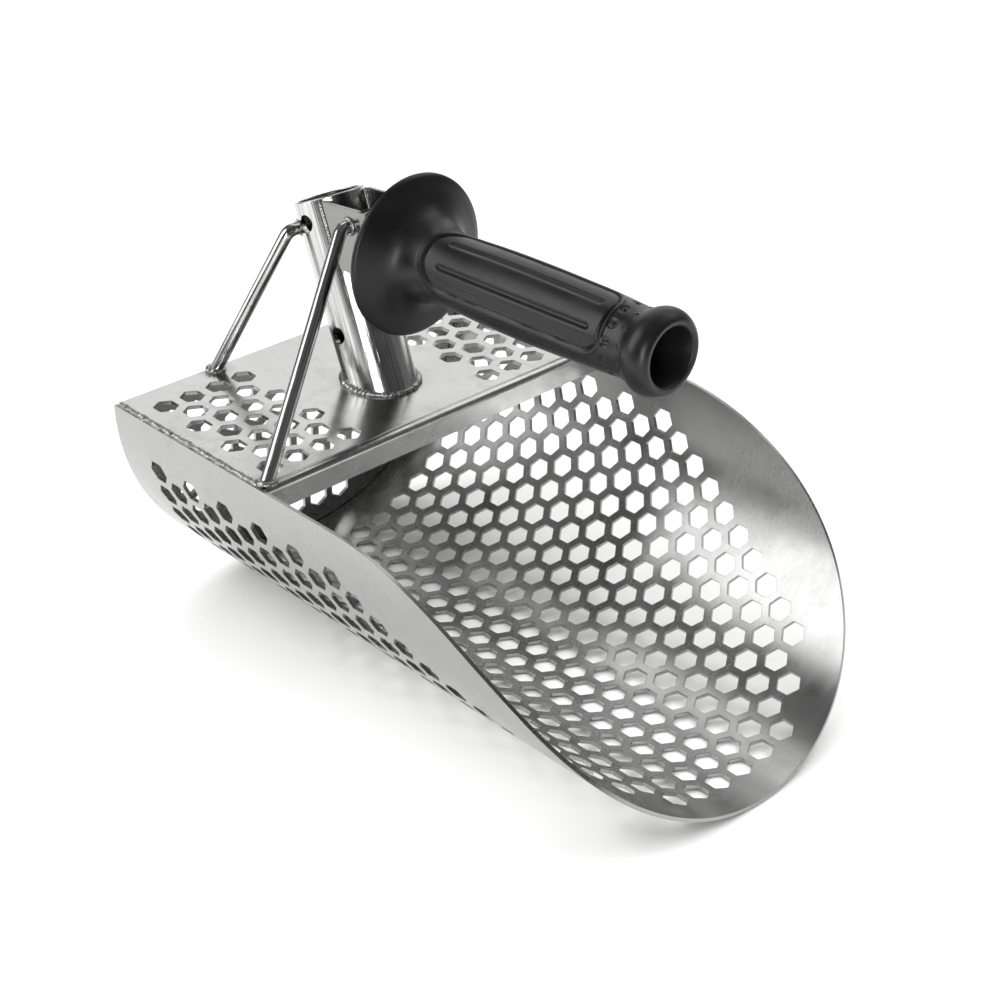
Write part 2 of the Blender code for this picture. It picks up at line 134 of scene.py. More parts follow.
def smooth_curve(points: Sequence[Point2], per_span: int) -> list[Point2]:
    """A smooth line through points in a plane.

    Args:
        points: the points, in order.
        per_span: how many steps are taken between two neighbours.

    Returns:
        Points along a centripetal spline, the given ones among them.
    """
    knots = [Vector(p) for p in points]
    knots = [2 * knots[0] - knots[1], *knots, 2 * knots[-1] - knots[-2]]
    line: list[Point2] = []
    for a, b, c, d in zip(knots, knots[1:], knots[2:], knots[3:]):
        t1 = (b - a).length ** 0.5
        t2 = t1 + (c - b).length ** 0.5
        t3 = t2 + (d - c).length ** 0.5
        for step in range(per_span):
            t = t1 + (t2 - t1) * step / per_span
            ab = a * ((t1 - t) / t1) + b * (t / t1)
            bc = b * ((t2 - t) / (t2 - t1)) + c * ((t - t1) / (t2 - t1))
            cd = c * ((t3 - t) / (t3 - t2)) + d * ((t - t2) / (t3 - t2))
            left = ab * ((t2 - t) / t2) + bc * (t / t2)
            right = bc * ((t3 - t) / (t3 - t1)) + cd * ((t - t1) / (t3 - t1))
            line.append(tuple(left * ((t2 - t) / (t2 - t1)) + right * ((t - t1) / (t2 - t1))))
    return line + [tuple(points[-1])]


def bench_origin() -> Vector:
    """The trough's axis at the socket's foot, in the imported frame."""
    low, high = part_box("trough_sheet")
    return Vector((0.0, high.y - Trough().rear * MM, low.z + (high.x - low.x) / 2))


def mesh_of(name: str, bm: bmesh.types.BMesh) -> bpy.types.Mesh:
    """Turns a bmesh into a mesh with outward faces.

    Args:
        name: the mesh's name.
        bm: the bmesh, which is freed.

    Returns:
        The new mesh.
    """
    bmesh.ops.recalc_face_normals(bm, faces=bm.faces)
    mesh = bpy.data.meshes.new(name)
    bm.to_mesh(mesh)
    bm.free()
    return mesh


def add_piece(name: str, mesh: bpy.types.Mesh, finish: "Finish", slot: Slot,
              nodes: Iterable[str], place: Matrix | None = None) -> bpy.types.Object:
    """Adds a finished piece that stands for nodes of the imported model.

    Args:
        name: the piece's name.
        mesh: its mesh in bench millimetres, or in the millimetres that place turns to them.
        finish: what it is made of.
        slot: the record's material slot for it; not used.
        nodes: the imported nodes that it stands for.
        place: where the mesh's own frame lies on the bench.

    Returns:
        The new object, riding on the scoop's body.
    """
    scale = Matrix.Scale(MM, 4)
    mesh.transform(Matrix.Translation(bench_origin()) @ scale @ (place or Matrix.Identity(4)))
    piece = bpy.data.objects.new(name, mesh)
    bpy.context.scene.collection.objects.link(piece)
    mesh.materials.append(finish.material())
    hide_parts(*nodes)
    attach(piece, BODY)
    log.info("%s: %d faces", name, len(mesh.polygons))
    return piece


def cut(piece: bpy.types.Mesh, cutters: Sequence[bpy.types.Mesh]) -> bpy.types.Mesh:
    """Cuts a mesh by others.

    Args:
        piece: the mesh that is cut.
        cutters: the closed meshes that cut it, in order.

    Returns:
        A new mesh; the given ones are removed.
    """
    holders = [bpy.data.objects.new(mesh.name, mesh) for mesh in (piece, *cutters)]
    for holder in holders:
        bpy.context.scene.collection.objects.link(holder)
    for cutter in holders[1:]:
        modifier = holders[0].modifiers.new(cutter.name, "BOOLEAN")
        modifier.object = cutter
        modifier.operation = "DIFFERENCE"
        modifier.solver = "EXACT"
    graph = bpy.context.evaluated_depsgraph_get()
    result = bpy.data.meshes.new_from_object(holders[0].evaluated_get(graph))
    for holder in holders:
        bpy.data.objects.remove(holder, do_unlink=True)
    return result


def rod_mesh(start: Vector, end: Vector, radius: float, segments: int = 48) -> bpy.types.Mesh:
    """A plain closed cylinder, used as a cutter.

    Args:
        start: the middle of one end.
        end: the middle of the other end.
        radius: its radius.
        segments: how many sides it has.

    Returns:
        The cylinder's mesh.
    """
    run = end - start
    bm = bmesh.new()
    bmesh.ops.create_cone(bm, cap_ends=True, segments=segments, radius1=radius,
                          radius2=radius, depth=run.length)
    turn = run.to_track_quat("Z", "Y").to_matrix().to_4x4()
    bmesh.ops.transform(bm, matrix=Matrix.Translation((start + end) / 2) @ turn, verts=bm.verts)
    return mesh_of("cutter", bm)


def box_mesh(low: Vector, high: Vector) -> bpy.types.Mesh:
    """A box, used as a cutter.

    Args:
        low: its lowest corner.
        high: its highest corner.

    Returns:
        The box's mesh.
    """
    bm = bmesh.new()
    bmesh.ops.create_cube(bm, size=1.0)
    bmesh.ops.transform(bm, matrix=Matrix.Translation((low + high) / 2)
                        @ Matrix.Diagonal((*(high - low), 1.0)), verts=bm.verts)
    return mesh_of("cutter", bm)


def mark_drawn(mesh: bpy.types.Mesh, straight: Iterable[Vector]) -> None:
    """Stores where each vertex lies on the straight bar that a piece was drawn as.

    Args:
        mesh: the piece's mesh, which gets the attribute "drawn" in metres.
        straight: each vertex's place on the straight bar, in millimetres.
    """
    layer = mesh.attributes.new("drawn", "FLOAT_VECTOR", "POINT")
    for item, point in zip(layer.data, straight):
        item.vector = point * MM


def skin(bm: bmesh.types.BMesh, rings: Sequence[Sequence[bmesh.types.BMVert]]) -> None:
    """Joins closed rings of vertices with faces, the last ring to the first.

    Args:
        bm: the bmesh that holds the vertices.
        rings: the rings, all with the same number of vertices.
    """
    for ring, after in zip(rings, [*rings[1:], rings[0]]):
        for i in range(len(ring)):
            j = (i + 1) % len(ring)
            bm.faces.new((ring[i], after[i], after[j], ring[j]))


def turned_mesh(name: str, profile: Sequence[Point2], segments: int) -> bpy.types.Mesh:
    """A section turned round +Z.

    Args:
        name: the mesh's name.
        profile: the closed section's (radius, height) points.
        segments: how many steps the turn takes.

    Returns:
        The turned mesh.
    """
    bm = bmesh.new()
    rings = [[bm.verts.new((r * math.cos(a), r * math.sin(a), h)) for r, h in profile]
             for a in spread(0, math.tau, segments + 1)[:-1]]
    skin(bm, rings)
    return mesh_of(name, bm)


def smooth_shade(mesh: bpy.types.Mesh, sharp: float) -> None:
    """Shades a mesh smooth but for edges that turn by more than sharp degrees."""
    mesh.shade_smooth()
    mesh.set_sharp_from_angle(angle=math.radians(sharp))


def round_true(mesh: bpy.types.Mesh, radial: Callable[[Vector], Vector]) -> None:
    """Gives the round faces of a turned and cut mesh their exact normals.

    Args:
        mesh: the mesh to shade.
        radial: the unit vector from the axis through a point.
    """
    smooth_shade(mesh, 35)
    normals = [n.vector.copy() for n in mesh.corner_normals]
    for face in mesh.polygons:
        for corner, vertex in zip(face.loop_indices, face.vertices):
            away = radial(mesh.vertices[vertex].co)
            share = face.normal.dot(away)
            if abs(share) > ROUND_FACE:
                normals[corner] = away if share > 0 else -away
    mesh.normals_split_custom_set(normals)


def swept_mesh(name: str, path: Sequence[Vector], segments: int, closed: bool,
               reach: Callable[[float, float, float], float]) -> bpy.types.Mesh:
    """A round body along a path, with a radius that may change along and round it.

    Args:
        name: the mesh's name.
        path: the centre line's points.
        segments: how many points a ring has.
        closed: True if the path runs back into its start.
        reach: the radius for (length so far, whole length, angle round the path).

    Returns:
        The mesh, with flat caps unless it is closed.
    """
    count = len(path)
    following = [path[(i + 1) % count] for i in range(count)]
    steps = [(b - a).length for a, b in zip(path, following)]
    whole = sum(steps if closed else steps[:-1])
    size = reach(0.0, whole, 0.0)
    side = Vector((0.0, 0.0, 1.0))
    bm = bmesh.new()
    rings: list[list[bmesh.types.BMVert]] = []
    lengths: list[float] = []
    so_far = 0.0
    for i, point in enumerate(path):
        ahead = path[(i + 1) % count] if closed or i + 1 < count else point
        behind = path[i - 1] if closed or i else point
        run = (ahead - behind).normalized()
        if not i and abs(run.z) > 0.9:
            side = Vector((1.0, 0.0, 0.0))
        side = (side - run * side.dot(run)).normalized()
        other = run.cross(side)
        ring = []
        for a in spread(0, math.tau, segments + 1)[:-1]:
            radius = reach(so_far, whole, a)
            ring.append(bm.verts.new(point + (side * math.cos(a) + other * math.sin(a)) * radius))
        rings.append(ring)
        lengths.append(so_far)
        so_far += steps[i]
    pairs = list(zip(rings, rings[1:] + rings[:1]))
    for ring, after in pairs if closed else pairs[:-1]:
        for k in range(segments):
            m = (k + 1) % segments
            bm.faces.new((ring[k], ring[m], after[m], after[k]))
    if not closed:
        bm.faces.new(reversed(rings[0]))
        bm.faces.new(rings[-1])
    mesh = mesh_of(name, bm)
    turns = spread(0, math.tau, segments + 1)[:-1]
    mark_drawn(mesh, [Vector((math.cos(a), math.sin(a), length / size)) * size
                      for length in lengths for a in turns])
    return mesh


# --- sheet work ---------------------------------------------------------------------
def hexagon(x: float, y: float, across_flats: float) -> list[Vector]:
    """Corners of a hexagon, two of them on its own y axis.

    Args:
        x: its middle's first coordinate.
        y: its middle's second coordinate.
        across_flats: its width between two sides.

    Returns:
        The six corners, counter-clockwise.
    """
    radius = across_flats / ROOT_3
    turns = [math.radians(a) for a in range(30, 390, 60)]
    return [Vector((x + radius * math.cos(a), y + radius * math.sin(a))) for a in turns]


def rounded_ring(corners: Sequence[Vector], radius: float, steps: int) -> Ring:
    """A closed outline whose sharp corners become arcs.

    Args:
        corners: the outline's points, counter-clockwise.
        radius: the radius of the arcs.
        steps: how many steps an arc takes.

    Returns:
        Pairs of a point and the unit normal that looks out of the outline there.
    """
    ring: Ring = []
    count = len(corners)
    for i, corner in enumerate(corners):
        into = (corner - corners[i - 1]).normalized()
        out = (corners[(i + 1) % count] - corner).normalized()
        turn = math.atan2(into.x * out.y - into.y * out.x, into.dot(out))
        if abs(turn) < CORNER:
            mean = (into + out).normalized()
            ring.append((corner.copy(), Vector((mean.y, -mean.x))))
            continue
        hand = math.copysign(1.0, turn)
        start = corner - into * radius * math.tan(abs(turn) / 2)
        first = Vector((into.y, -into.x))
        centre = start - first * radius * hand
        for t in spread(0, turn, steps + 1):
            normal = Vector((first.x * math.cos(t) - first.y * math.sin(t),
                             first.x * math.sin(t) + first.y * math.cos(t)))
            ring.append((centre + normal * radius * hand, normal))
    return ring


@dataclass
class SheetBlank:
    """A flat blank with punched hexagons that a placer bends to its shape.

    The mesh has both faces of the sheet, its cut edges with a small rounding, and the exact
    normals of the bent sheet, so that reflections run on smoothly between the holes.
    """

    outline: list[Point2]
    holes: list[Point2] = field(default_factory=list)
    loose: list[Point2] = field(default_factory=list)
    creases: list[list[Point2]] = field(default_factory=list)
    across_flats: float = 8.0
    thickness: float = 1.5
    edge: float = 0.16
    hole_corner: float = 0.55
    blank_corner: float = 0.7

    def rings(self) -> list[Ring]:
        """Rounds the corners of the outline and the holes.

        Returns:
            Their rings, with normals that look away from the metal.
        """
        rings = [rounded_ring([Vector(p) for p in self.outline], self.blank_corner, 4)]
        for x, y in self.holes:
            ring = rounded_ring(hexagon(x, y, self.across_flats), self.hole_corner, 2)
            rings.append([(point, -normal) for point, normal in ring])
        return rings

    def triangles(self, rings: list[Ring]
                  ) -> tuple[list[Vector], list[list[int]], list[list[int]]]:
        """Divides the blank's face into triangles.

        Args:
            rings: the outline and the holes, from rings().

        Returns:
            The face's points, its triangles, and each ring's own points by number.
        """
        points: list[Vector] = []
        edges: list[tuple[int, int]] = []
        ring_of: list[int] = []
        for number, ring in enumerate(rings):
            first, size = len(points), len(ring)
            points += [point - normal * self.edge for point, normal in ring]
            ring_of += [number] * size
            edges += [(first + i, first + (i + 1) % size) for i in range(size)]
        for line in self.creases:
            first = len(points)
            points += [Vector(p) for p in line]
            edges += [(first + i, first + i + 1) for i in range(len(line) - 1)]
        points += [Vector(p) for p in self.loose]
        ring_of += [0] * (len(points) - len(ring_of))
        flat, _, faces, sources, *_ = delaunay_2d_cdt(points, edges, [], 1, 0.00001)
        met = [{ring_of[i] for i in source} for source in sources]
        number_of = {i: k for k, source in enumerate(sources) for i in source}
        solid = [face for face in faces
                 if not (met[face[0]] == met[face[1]] == met[face[2]] and min(met[face[0]]) > 0)]
        starts = [0]
        for ring in rings:
            starts.append(starts[-1] + len(ring))
        own = [[number_of[i] for i in range(a, b)] for a, b in zip(starts, starts[1:])]
        return flat, solid, own

    def mesh(self, name: str, place: Placer) -> bpy.types.Mesh:
        """Builds the bent sheet.

        Args:
            name: the mesh's name.
            place: where a point of the blank goes, from its two coordinates and its height
                over the sheet's middle.

        Returns:
            The mesh, with the blank's coordinates in metres as its UV map.
        """
        rings = self.rings()
        flat, faces, own = self.triangles(rings)
        half = self.thickness / 2
        spots: list[Vector] = []
        normals: list[Vector] = []
        blank: list[Point2] = []

        def put(u: float, v: float, w: float, normal: Vector) -> int:
            """Notes one vertex.

            Args:
                u: its first coordinate on the blank.
                v: its second coordinate on the blank.
                w: its height over the sheet's middle.
                normal: its normal on the bent sheet.

            Returns:
                Its number.
            """
            spots.append(place(u, v, w))
            normals.append(normal)
            blank.append((u * MM, v * MM))
            return len(spots) - 1

        top, bottom = [], []
        for point in flat:
            across = (place(*point, half) - place(*point, -half)).normalized()
            top.append(put(*point, half, across))
            bottom.append(put(*point, -half, -across))
        polygons = [tuple(top[i] for i in face) for face in faces]
        polygons += [tuple(bottom[i] for i in reversed(face)) for face in faces]
        probe = 0.01
        for ring, numbers in zip(rings, own):
            bands = [[top[i] for i in numbers]]
            for w in (half - self.edge, self.edge - half):
                band = []
                for point, normal in ring:
                    ahead = point + normal * probe
                    away = (place(*ahead, w) - place(*point, w)).normalized()
                    band.append(put(*point, w, away))
                bands.append(band)
            bands.append([bottom[i] for i in numbers])
            for upper, lower in zip(bands, bands[1:]):
                for i in range(len(ring)):
                    j = (i + 1) % len(ring)
                    polygons.append((upper[i], upper[j], lower[j], lower[i]))
        raw = bpy.data.meshes.new(name)
        raw.from_pydata(spots, [], polygons)
        bm = bmesh.new()
        bm.from_mesh(raw)
        bpy.data.meshes.remove(raw)
        mesh = mesh_of(name, bm)
        mesh.shade_smooth()
        layer = mesh.uv_layers.new(name="blank")
        for loop in mesh.loops:
            layer.data[loop.index].uv = blank[loop.vertex_index]
        mesh.normals_split_custom_set_from_vertices(normals)
        return mesh


# --- finishes -----------------------------------------------------------------------
def linear(code: str) -> tuple[float, float, float, float]:
    """An sRGB hex colour such as #C0C0BE as linear red, green, blue and alpha."""
    parts = [int(code[i:i + 2], 16) / 255 for i in (1, 3, 5)]
    return (*[p / 12.92 if p <= 0.04045 else ((p + 0.055) / 1.055) ** 2.4 for p in parts], 1.0)


def add_node(tree: bpy.types.NodeTree, kind: str, values: dict | None = None,
             **settings: object) -> bpy.types.Node:
    """Adds a node with its settings, its constant inputs and its links.

    Args:
        tree: the tree that gets the node.
        kind: the node's type, without its leading ShaderNode.
        values: for an input's name or number, a constant, or the socket that feeds it.
        **settings: the node's own properties.

    Returns:
        The new node.
    """
    made = tree.nodes.new("ShaderNode" + kind)
    for name, setting in settings.items():
        setattr(made, name, setting)
    for key, value in (values or {}).items():
        if isinstance(value, Socket):
            tree.links.new(value, made.inputs[key])
        else:
            made.inputs[key].default_value = value
    return made


@dataclass(frozen=True)
class Finish:
    """What a surface is made of and how it was made."""

    name: str
    colour: str
    roughness: float

    def material(self) -> bpy.types.Material:
        """Makes the material the first time it is asked for.

        Returns:
            The finish's material.
        """
        found = bpy.data.materials.get(self.name)
        if found:
            return found
        made = bpy.data.materials.new(self.name)
        made.use_nodes = True
        made.diffuse_color = linear(self.colour)
        shader = made.node_tree.nodes["Principled BSDF"]
        shader.inputs["Base Color"].default_value = linear(self.colour)
        shader.inputs["Roughness"].default_value = self.roughness
        self.dress(made.node_tree, shader)
        return made

    def dress(self, tree: bpy.types.NodeTree, shader: bpy.types.Node) -> None:
        """Adds the finish's pattern to its shader."""
        raise NotImplementedError


@dataclass(frozen=True)
class BrushedSheet(Finish):
    """Stainless sheet with a fine belt-brushed grain, handled and lightly smudged.

    The grain blurs reflections into soft streaks, the smudges change how sharp they are from
    place to place, and the sheet is not quite flat, in waves of wave_mm.  Real grain lines are
    0.05 mm apart, too fine to show, so they are drawn at grain_mm.
    """

    grain: Grain = Grain.ACROSS
    grain_mm: float = 0.32
    grain_length_mm: float = 30.0
    smudge_mm: float = 26.0
    wave_mm: float = 42.0
    stain: str = "#8E8B86"
    heat_spots: tuple[tuple[float, float, float, float], ...] = ()

    def dress(self, tree: bpy.types.NodeTree, shader: bpy.types.Node) -> None:
        """Grain in the bump and roughness, smudges in the roughness, stains in the colour.

        Args:
            tree: the material's node tree.
            shader: its shader.
        """
        blank = add_node(tree, "UVMap", uv_map="blank").outputs["UV"]
        place = add_node(tree, "NewGeometry").outputs["Position"]
        lengths = [self.grain_length_mm] * 3
        lengths[1 - self.grain.value] = self.grain_mm
        stretch = [1 / (MM * length) for length in lengths]
        lines = add_node(tree, "VectorMath", {0: blank, 1: stretch}, operation="MULTIPLY")
        grain = add_node(tree, "TexNoise", {"Vector": lines.outputs[0], "Scale": 1.0,
                         "Detail": 3.0, "Roughness": 0.7}).outputs["Fac"]
        smudge = add_node(tree, "TexNoise", {"Vector": place, "Scale": 1 / (self.smudge_mm * MM),
                          "Detail": 5.0, "Roughness": 0.62, "Distortion": 0.6}).outputs["Fac"]
        broad = add_node(tree, "MapRange", {0: smudge, 1: 0.36, 2: 0.66, 3: -0.045,
                         4: 0.07}).outputs[0]
        fine = add_node(tree, "MapRange", {0: grain, 1: 0.3, 2: 0.7, 3: self.roughness - 0.035,
                        4: self.roughness + 0.035}).outputs[0]
        rough = add_node(tree, "Math", {0: broad, 1: fine}, operation="ADD").outputs[0]
        tree.links.new(rough, shader.inputs["Roughness"])
        blotch = add_node(tree, "TexNoise", {"Vector": place, "Scale": 2.6 / (self.smudge_mm * MM),
                          "Detail": 6.0, "Roughness": 0.7}).outputs["Fac"]
        spots = add_node(tree, "MapRange", {0: blotch, 1: 0.52, 2: 0.76, 3: 0.0,
                         4: 0.42}).outputs[0]
        shade = self.heat(tree, place, spots)
        colour = add_node(tree, "Mix", {0: shade, 6: linear(self.colour), 7: linear(self.stain)},
                          data_type="RGBA").outputs[2]
        tree.links.new(colour, shader.inputs["Base Color"])
        bump = add_node(tree, "Bump", {"Height": grain, "Strength": 0.10,
                        "Distance": 0.05 * MM}).outputs[0]
        waves = add_node(tree, "TexNoise", {"Vector": place, "Detail": 1.0,
                         "Scale": 1 / (self.wave_mm * MM)}).outputs["Fac"]
        bump = add_node(tree, "Bump", {"Height": waves, "Strength": 0.35, "Distance": 0.5 * MM,
                        "Normal": bump}).outputs[0]
        tree.links.new(bump, shader.inputs["Normal"])
        tangent = add_node(tree, "Tangent", direction_type="UV_MAP", uv_map="blank").outputs[0]
        tree.links.new(tangent, shader.inputs["Tangent"])
        shader.inputs["Metallic"].default_value = 1.0
        shader.inputs["Anisotropic"].default_value = 0.35
        shader.inputs["Anisotropic Rotation"].default_value = 0.25 * self.grain.value

    def heat(self, tree: bpy.types.NodeTree, place: Socket, shade: Socket) -> Socket:
        """Adds the dull tint that welding leaves round each heat spot.

        Args:
            tree: the material's node tree.
            place: the shaded point's position.
            shade: the share of stain so far.

        Returns:
            The share of stain with the heat spots in it.
        """
        for x, y, z, reach in self.heat_spots:
            spot = bench_origin() + Vector((x, y, z)) * MM
            apart = add_node(tree, "VectorMath", {0: place, 1: spot}, operation="DISTANCE")
            glow = add_node(tree, "MapRange", {0: apart.outputs["Value"], 1: reach * 0.3 * MM,
                            2: reach * MM, 3: 0.6, 4: 0.0}, interpolation_type="SMOOTHSTEP")
            shade = add_node(tree, "Math", {0: shade, 1: glow.outputs[0]},
                             operation="MAXIMUM").outputs[0]
        return shade


@dataclass(frozen=True)
class PolishedSteel(Finish):
    """Stainless tube and bar with a bright drawn finish.

    It mirrors the room in hard streaks along its length.  Fine draw lines split the streaks,
    and fingermarks dull them in places.  Real draw lines are 0.05 mm apart and are drawn at
    line_mm, so that they show.
    """

    mark_mm: float = 9.0
    line_mm: float = 0.6
    line_length_mm: float = 60.0
    line_tint: str = "#8E8E8D"

    def dress(self, tree: bpy.types.NodeTree, shader: bpy.types.Node) -> None:
        """Fingermarks in the roughness, draw lines in the colour, roughness and bump.

        Args:
            tree: the material's node tree.
            shader: its shader.
        """
        place = add_node(tree, "NewGeometry").outputs["Position"]
        drawn = add_node(tree, "Attribute", attribute_name="drawn").outputs["Vector"]
        fine, long = 1 / (self.line_mm * MM), 1 / (self.line_length_mm * MM)
        lines = add_node(tree, "VectorMath", {0: drawn, 1: (fine, fine, long)},
                         operation="MULTIPLY").outputs[0]
        lines = add_node(tree, "TexNoise", {"Vector": lines, "Scale": 1.0, "Detail": 3.0,
                         "Roughness": 0.65}).outputs["Fac"]
        marks = add_node(tree, "TexNoise", {"Vector": place, "Scale": 1 / (self.mark_mm * MM),
                         "Detail": 6.0, "Roughness": 0.6}).outputs["Fac"]
        dull = add_node(tree, "MapRange", {0: marks, 1: 0.42, 2: 0.72, 3: 0.0,
                        4: 0.10}).outputs[0]
        rough = add_node(tree, "MapRange", {0: lines, 1: 0.35, 2: 0.68,
                         3: self.roughness - 0.02, 4: self.roughness + 0.07}).outputs[0]
        rough = add_node(tree, "Math", {0: dull, 1: rough}, operation="ADD").outputs[0]
        tree.links.new(rough, shader.inputs["Roughness"])
        share = add_node(tree, "MapRange", {0: lines, 1: 0.38, 2: 0.66, 3: 0.0,
                         4: 1.0}).outputs[0]
        colour = add_node(tree, "Mix", {0: share, 6: linear(self.colour),
                          7: linear(self.line_tint)}, data_type="RGBA").outputs[2]
        tree.links.new(colour, shader.inputs["Base Color"])
        bump = add_node(tree, "Bump", {"Height": lines, "Strength": 0.6,
                        "Distance": 0.12 * MM}).outputs[0]
        tree.links.new(bump, shader.inputs["Normal"])
        shader.inputs["Metallic"].default_value = 1.0


@dataclass(frozen=True)
class WeldMetal(Finish):
    """Hand-laid stainless weld, left as it cooled.

    The beads are bright on their ripples and carry a grey oxide scale in between, in flakes of
    about scale_mm.
    """

    tint: str = "#5C5956"
    scale_mm: float = 1.1

    def dress(self, tree: bpy.types.NodeTree, shader: bpy.types.Node) -> None:
        """Heat tint in the colour and scale in the bump.

        Args:
            tree: the material's node tree.
            shader: its shader.
        """
        place = add_node(tree, "NewGeometry").outputs["Position"]
        scale = add_node(tree, "TexNoise", {"Vector": place, "Scale": 1 / (self.scale_mm * MM),
                         "Detail": 4.0, "Roughness": 0.7}).outputs["Fac"]
        share = add_node(tree, "MapRange", {0: scale, 1: 0.4, 2: 0.7, 3: 0.0,
                         4: 1.0}).outputs[0]
        colour = add_node(tree, "Mix", {0: share, 6: linear(self.colour), 7: linear(self.tint)},
                          data_type="RGBA").outputs[2]
        tree.links.new(colour, shader.inputs["Base Color"])
        bump = add_node(tree, "Bump", {"Height": scale, "Strength": 0.5,
                        "Distance": 0.25 * MM}).outputs[0]
        tree.links.new(bump, shader.inputs["Normal"])
        shader.inputs["Metallic"].default_value = 1.0


@dataclass(frozen=True)
class MouldedRubber(Finish):
    """Black rubber moulded in a satin tool.

    A broad soft sheen over near black, with a fine spark-eroded texture.  The texture is
    0.1 mm in the tool and is drawn at texture_mm, so that it shows.
    """

    dust: str = "#1C1C1D"
    dust_mm: float = 14.0
    texture_mm: float = 0.4

    def dress(self, tree: bpy.types.NodeTree, shader: bpy.types.Node) -> None:
        """Tool texture in the bump, and a trace of dust in the colour and roughness.

        Args:
            tree: the material's node tree.
            shader: its shader.
        """
        place = add_node(tree, "NewGeometry").outputs["Position"]
        tool = add_node(tree, "TexNoise", {"Vector": place, "Scale": 1 / (self.texture_mm * MM),
                        "Detail": 3.0, "Roughness": 0.6}).outputs["Fac"]
        cloud = add_node(tree, "TexNoise", {"Vector": place, "Scale": 1 / (self.dust_mm * MM),
                         "Detail": 5.0, "Roughness": 0.6}).outputs["Fac"]
        share = add_node(tree, "MapRange", {0: cloud, 1: 0.42, 2: 0.75, 3: 0.0,
                         4: 0.5}).outputs[0]
        colour = add_node(tree, "Mix", {0: share, 6: linear(self.colour), 7: linear(self.dust)},
                          data_type="RGBA").outputs[2]
        tree.links.new(colour, shader.inputs["Base Color"])
        rough = add_node(tree, "MapRange", {0: cloud, 1: 0.35, 2: 0.7, 3: self.roughness - 0.05,
                         4: self.roughness + 0.08}).outputs[0]
        tree.links.new(rough, shader.inputs["Roughness"])
        bump = add_node(tree, "Bump", {"Height": tool, "Strength": 0.12,
                        "Distance": 0.1 * MM}).outputs[0]
        tree.links.new(bump, shader.inputs["Normal"])
        shader.inputs["Specular IOR Level"].default_value = 0.4


@dataclass(frozen=True)
class StudioFloor(Finish):
    """A plain matt pale floor."""

    def dress(self, tree: bpy.types.NodeTree, shader: bpy.types.Node) -> None:
        """Keeps the floor dull."""
        shader.inputs["Specular IOR Level"].default_value = 0.1


POLISHED_STEEL = PolishedSteel("stainless_steel_drawn_bright", "#CDCDCC", 0.08)
WELD_METAL = WeldMetal("stainless_weld_as_laid", "#BAB9B7", 0.27)
RUBBER = MouldedRubber("moulded_black_rubber", "#0B0B0C", 0.36)
PALE_FLOOR = StudioFloor("matt_pale_floor", "#F4F4F3", 0.7)


# --- trough -------------------------------------------------------------------------
@dataclass
class Trough:
    """The half-round sieve, rolled from one perforated blank with an elliptical lip."""

    radius: float = 81.6
    sheet: float = 1.5
    wall_top: float = 1.3
    rear: float = 50.5
    lip_centre: float = -69.3
    lip_length: float = 118.2
    pitch: float = 11.0
    rows: range = range(-3, 19)
    widest_row: int = 20
    edge_clear: float = 4.5
    # The trough's grey is set darker than the deck's, though both are the same sheet: painted
    # shade for the trough's inside.
    finish: Finish = BrushedSheet("stainless_sheet_brushed_trough", "#A0A09F", 0.23,
                                  grain=Grain.ACROSS)

    @property
    def quarter(self) -> float:
        """Length of a quarter of the rolled arc."""
        return self.radius * math.pi / 2

    def roll(self, u: float, v: float, w: float) -> Vector:
        """Rolls the blank: round up to the axis plane, then straight up.

        Args:
            u: distance round the trough from its lowest line.
            v: distance along the trough.
            w: height over the sheet's middle, outwards.

        Returns:
            The point on the bench.
        """
        side = math.copysign(1.0, u)
        if abs(u) > self.quarter:
            return Vector((side * (self.radius + w), v, abs(u) - self.quarter))
        angle = u / self.radius
        return Vector(((self.radius + w) * math.sin(angle), v,
                       -(self.radius + w) * math.cos(angle)))

    def holes(self) -> tuple[list[Point2], list[Point2]]:
        """Places on the sieve's lattice.

        Returns:
            The holes, in rows that shorten towards the lip, and the unpunched places.
        """
        punched: list[Point2] = []
        plain: list[Point2] = []
        rise = self.pitch * ROOT_3 / 2
        for row in range(self.rows.start - 2, self.rows.stop + 4):
            reach = min(self.widest_row, 27 - row, 59 - 3 * row) if row in self.rows else -1
            for step in range(-24, 25):
                if (step + row) % 2:
                    place = (step * self.pitch / 2, -row * rise)
                    (punched if abs(step) <= reach else plain).append(place)
        return punched, plain

    def margin(self, place: Point2) -> float:
        """Finds roughly how far a place lies inside the blank's outline.

        Args:
            place: the place on the blank.

        Returns:
            The distance to the outline.
        """
        u, v = place
        half = self.quarter + self.wall_top
        if v < self.lip_centre:
            past = math.hypot(u / half, (v - self.lip_centre) / self.lip_length)
            return (1 - past) * self.lip_length
        return min(half - abs(u), self.rear - v)

    def blank(self) -> SheetBlank:
        """Lays out the flat blank.

        Returns:
            The blank, with its holes and with loose points that keep its face even.
        """
        half = self.quarter + self.wall_top
        lip = [(-half * math.cos(a), self.lip_centre - self.lip_length * math.sin(a))
               for a in spread(0, math.pi, 161)]
        rear = [(u, self.rear) for u in spread(half, -half, 49)]
        flank = spread(self.lip_centre, self.rear, 17)[1:-1]
        outline = (lip + [(half, v) for v in flank] + rear + [(-half, v) for v in reversed(flank)])
        punched, plain = self.holes()
        loose = [p for p in plain if self.margin(p) > self.edge_clear]
        return SheetBlank(outline, punched, loose, thickness=self.sheet)

    def build(self) -> None:
        """Adds the sieve."""
        mesh = self.blank().mesh("sieve_trough", self.roll)
        add_piece("sieve_trough", mesh, self.finish, Slot.SATIN, ["trough_sheet"])


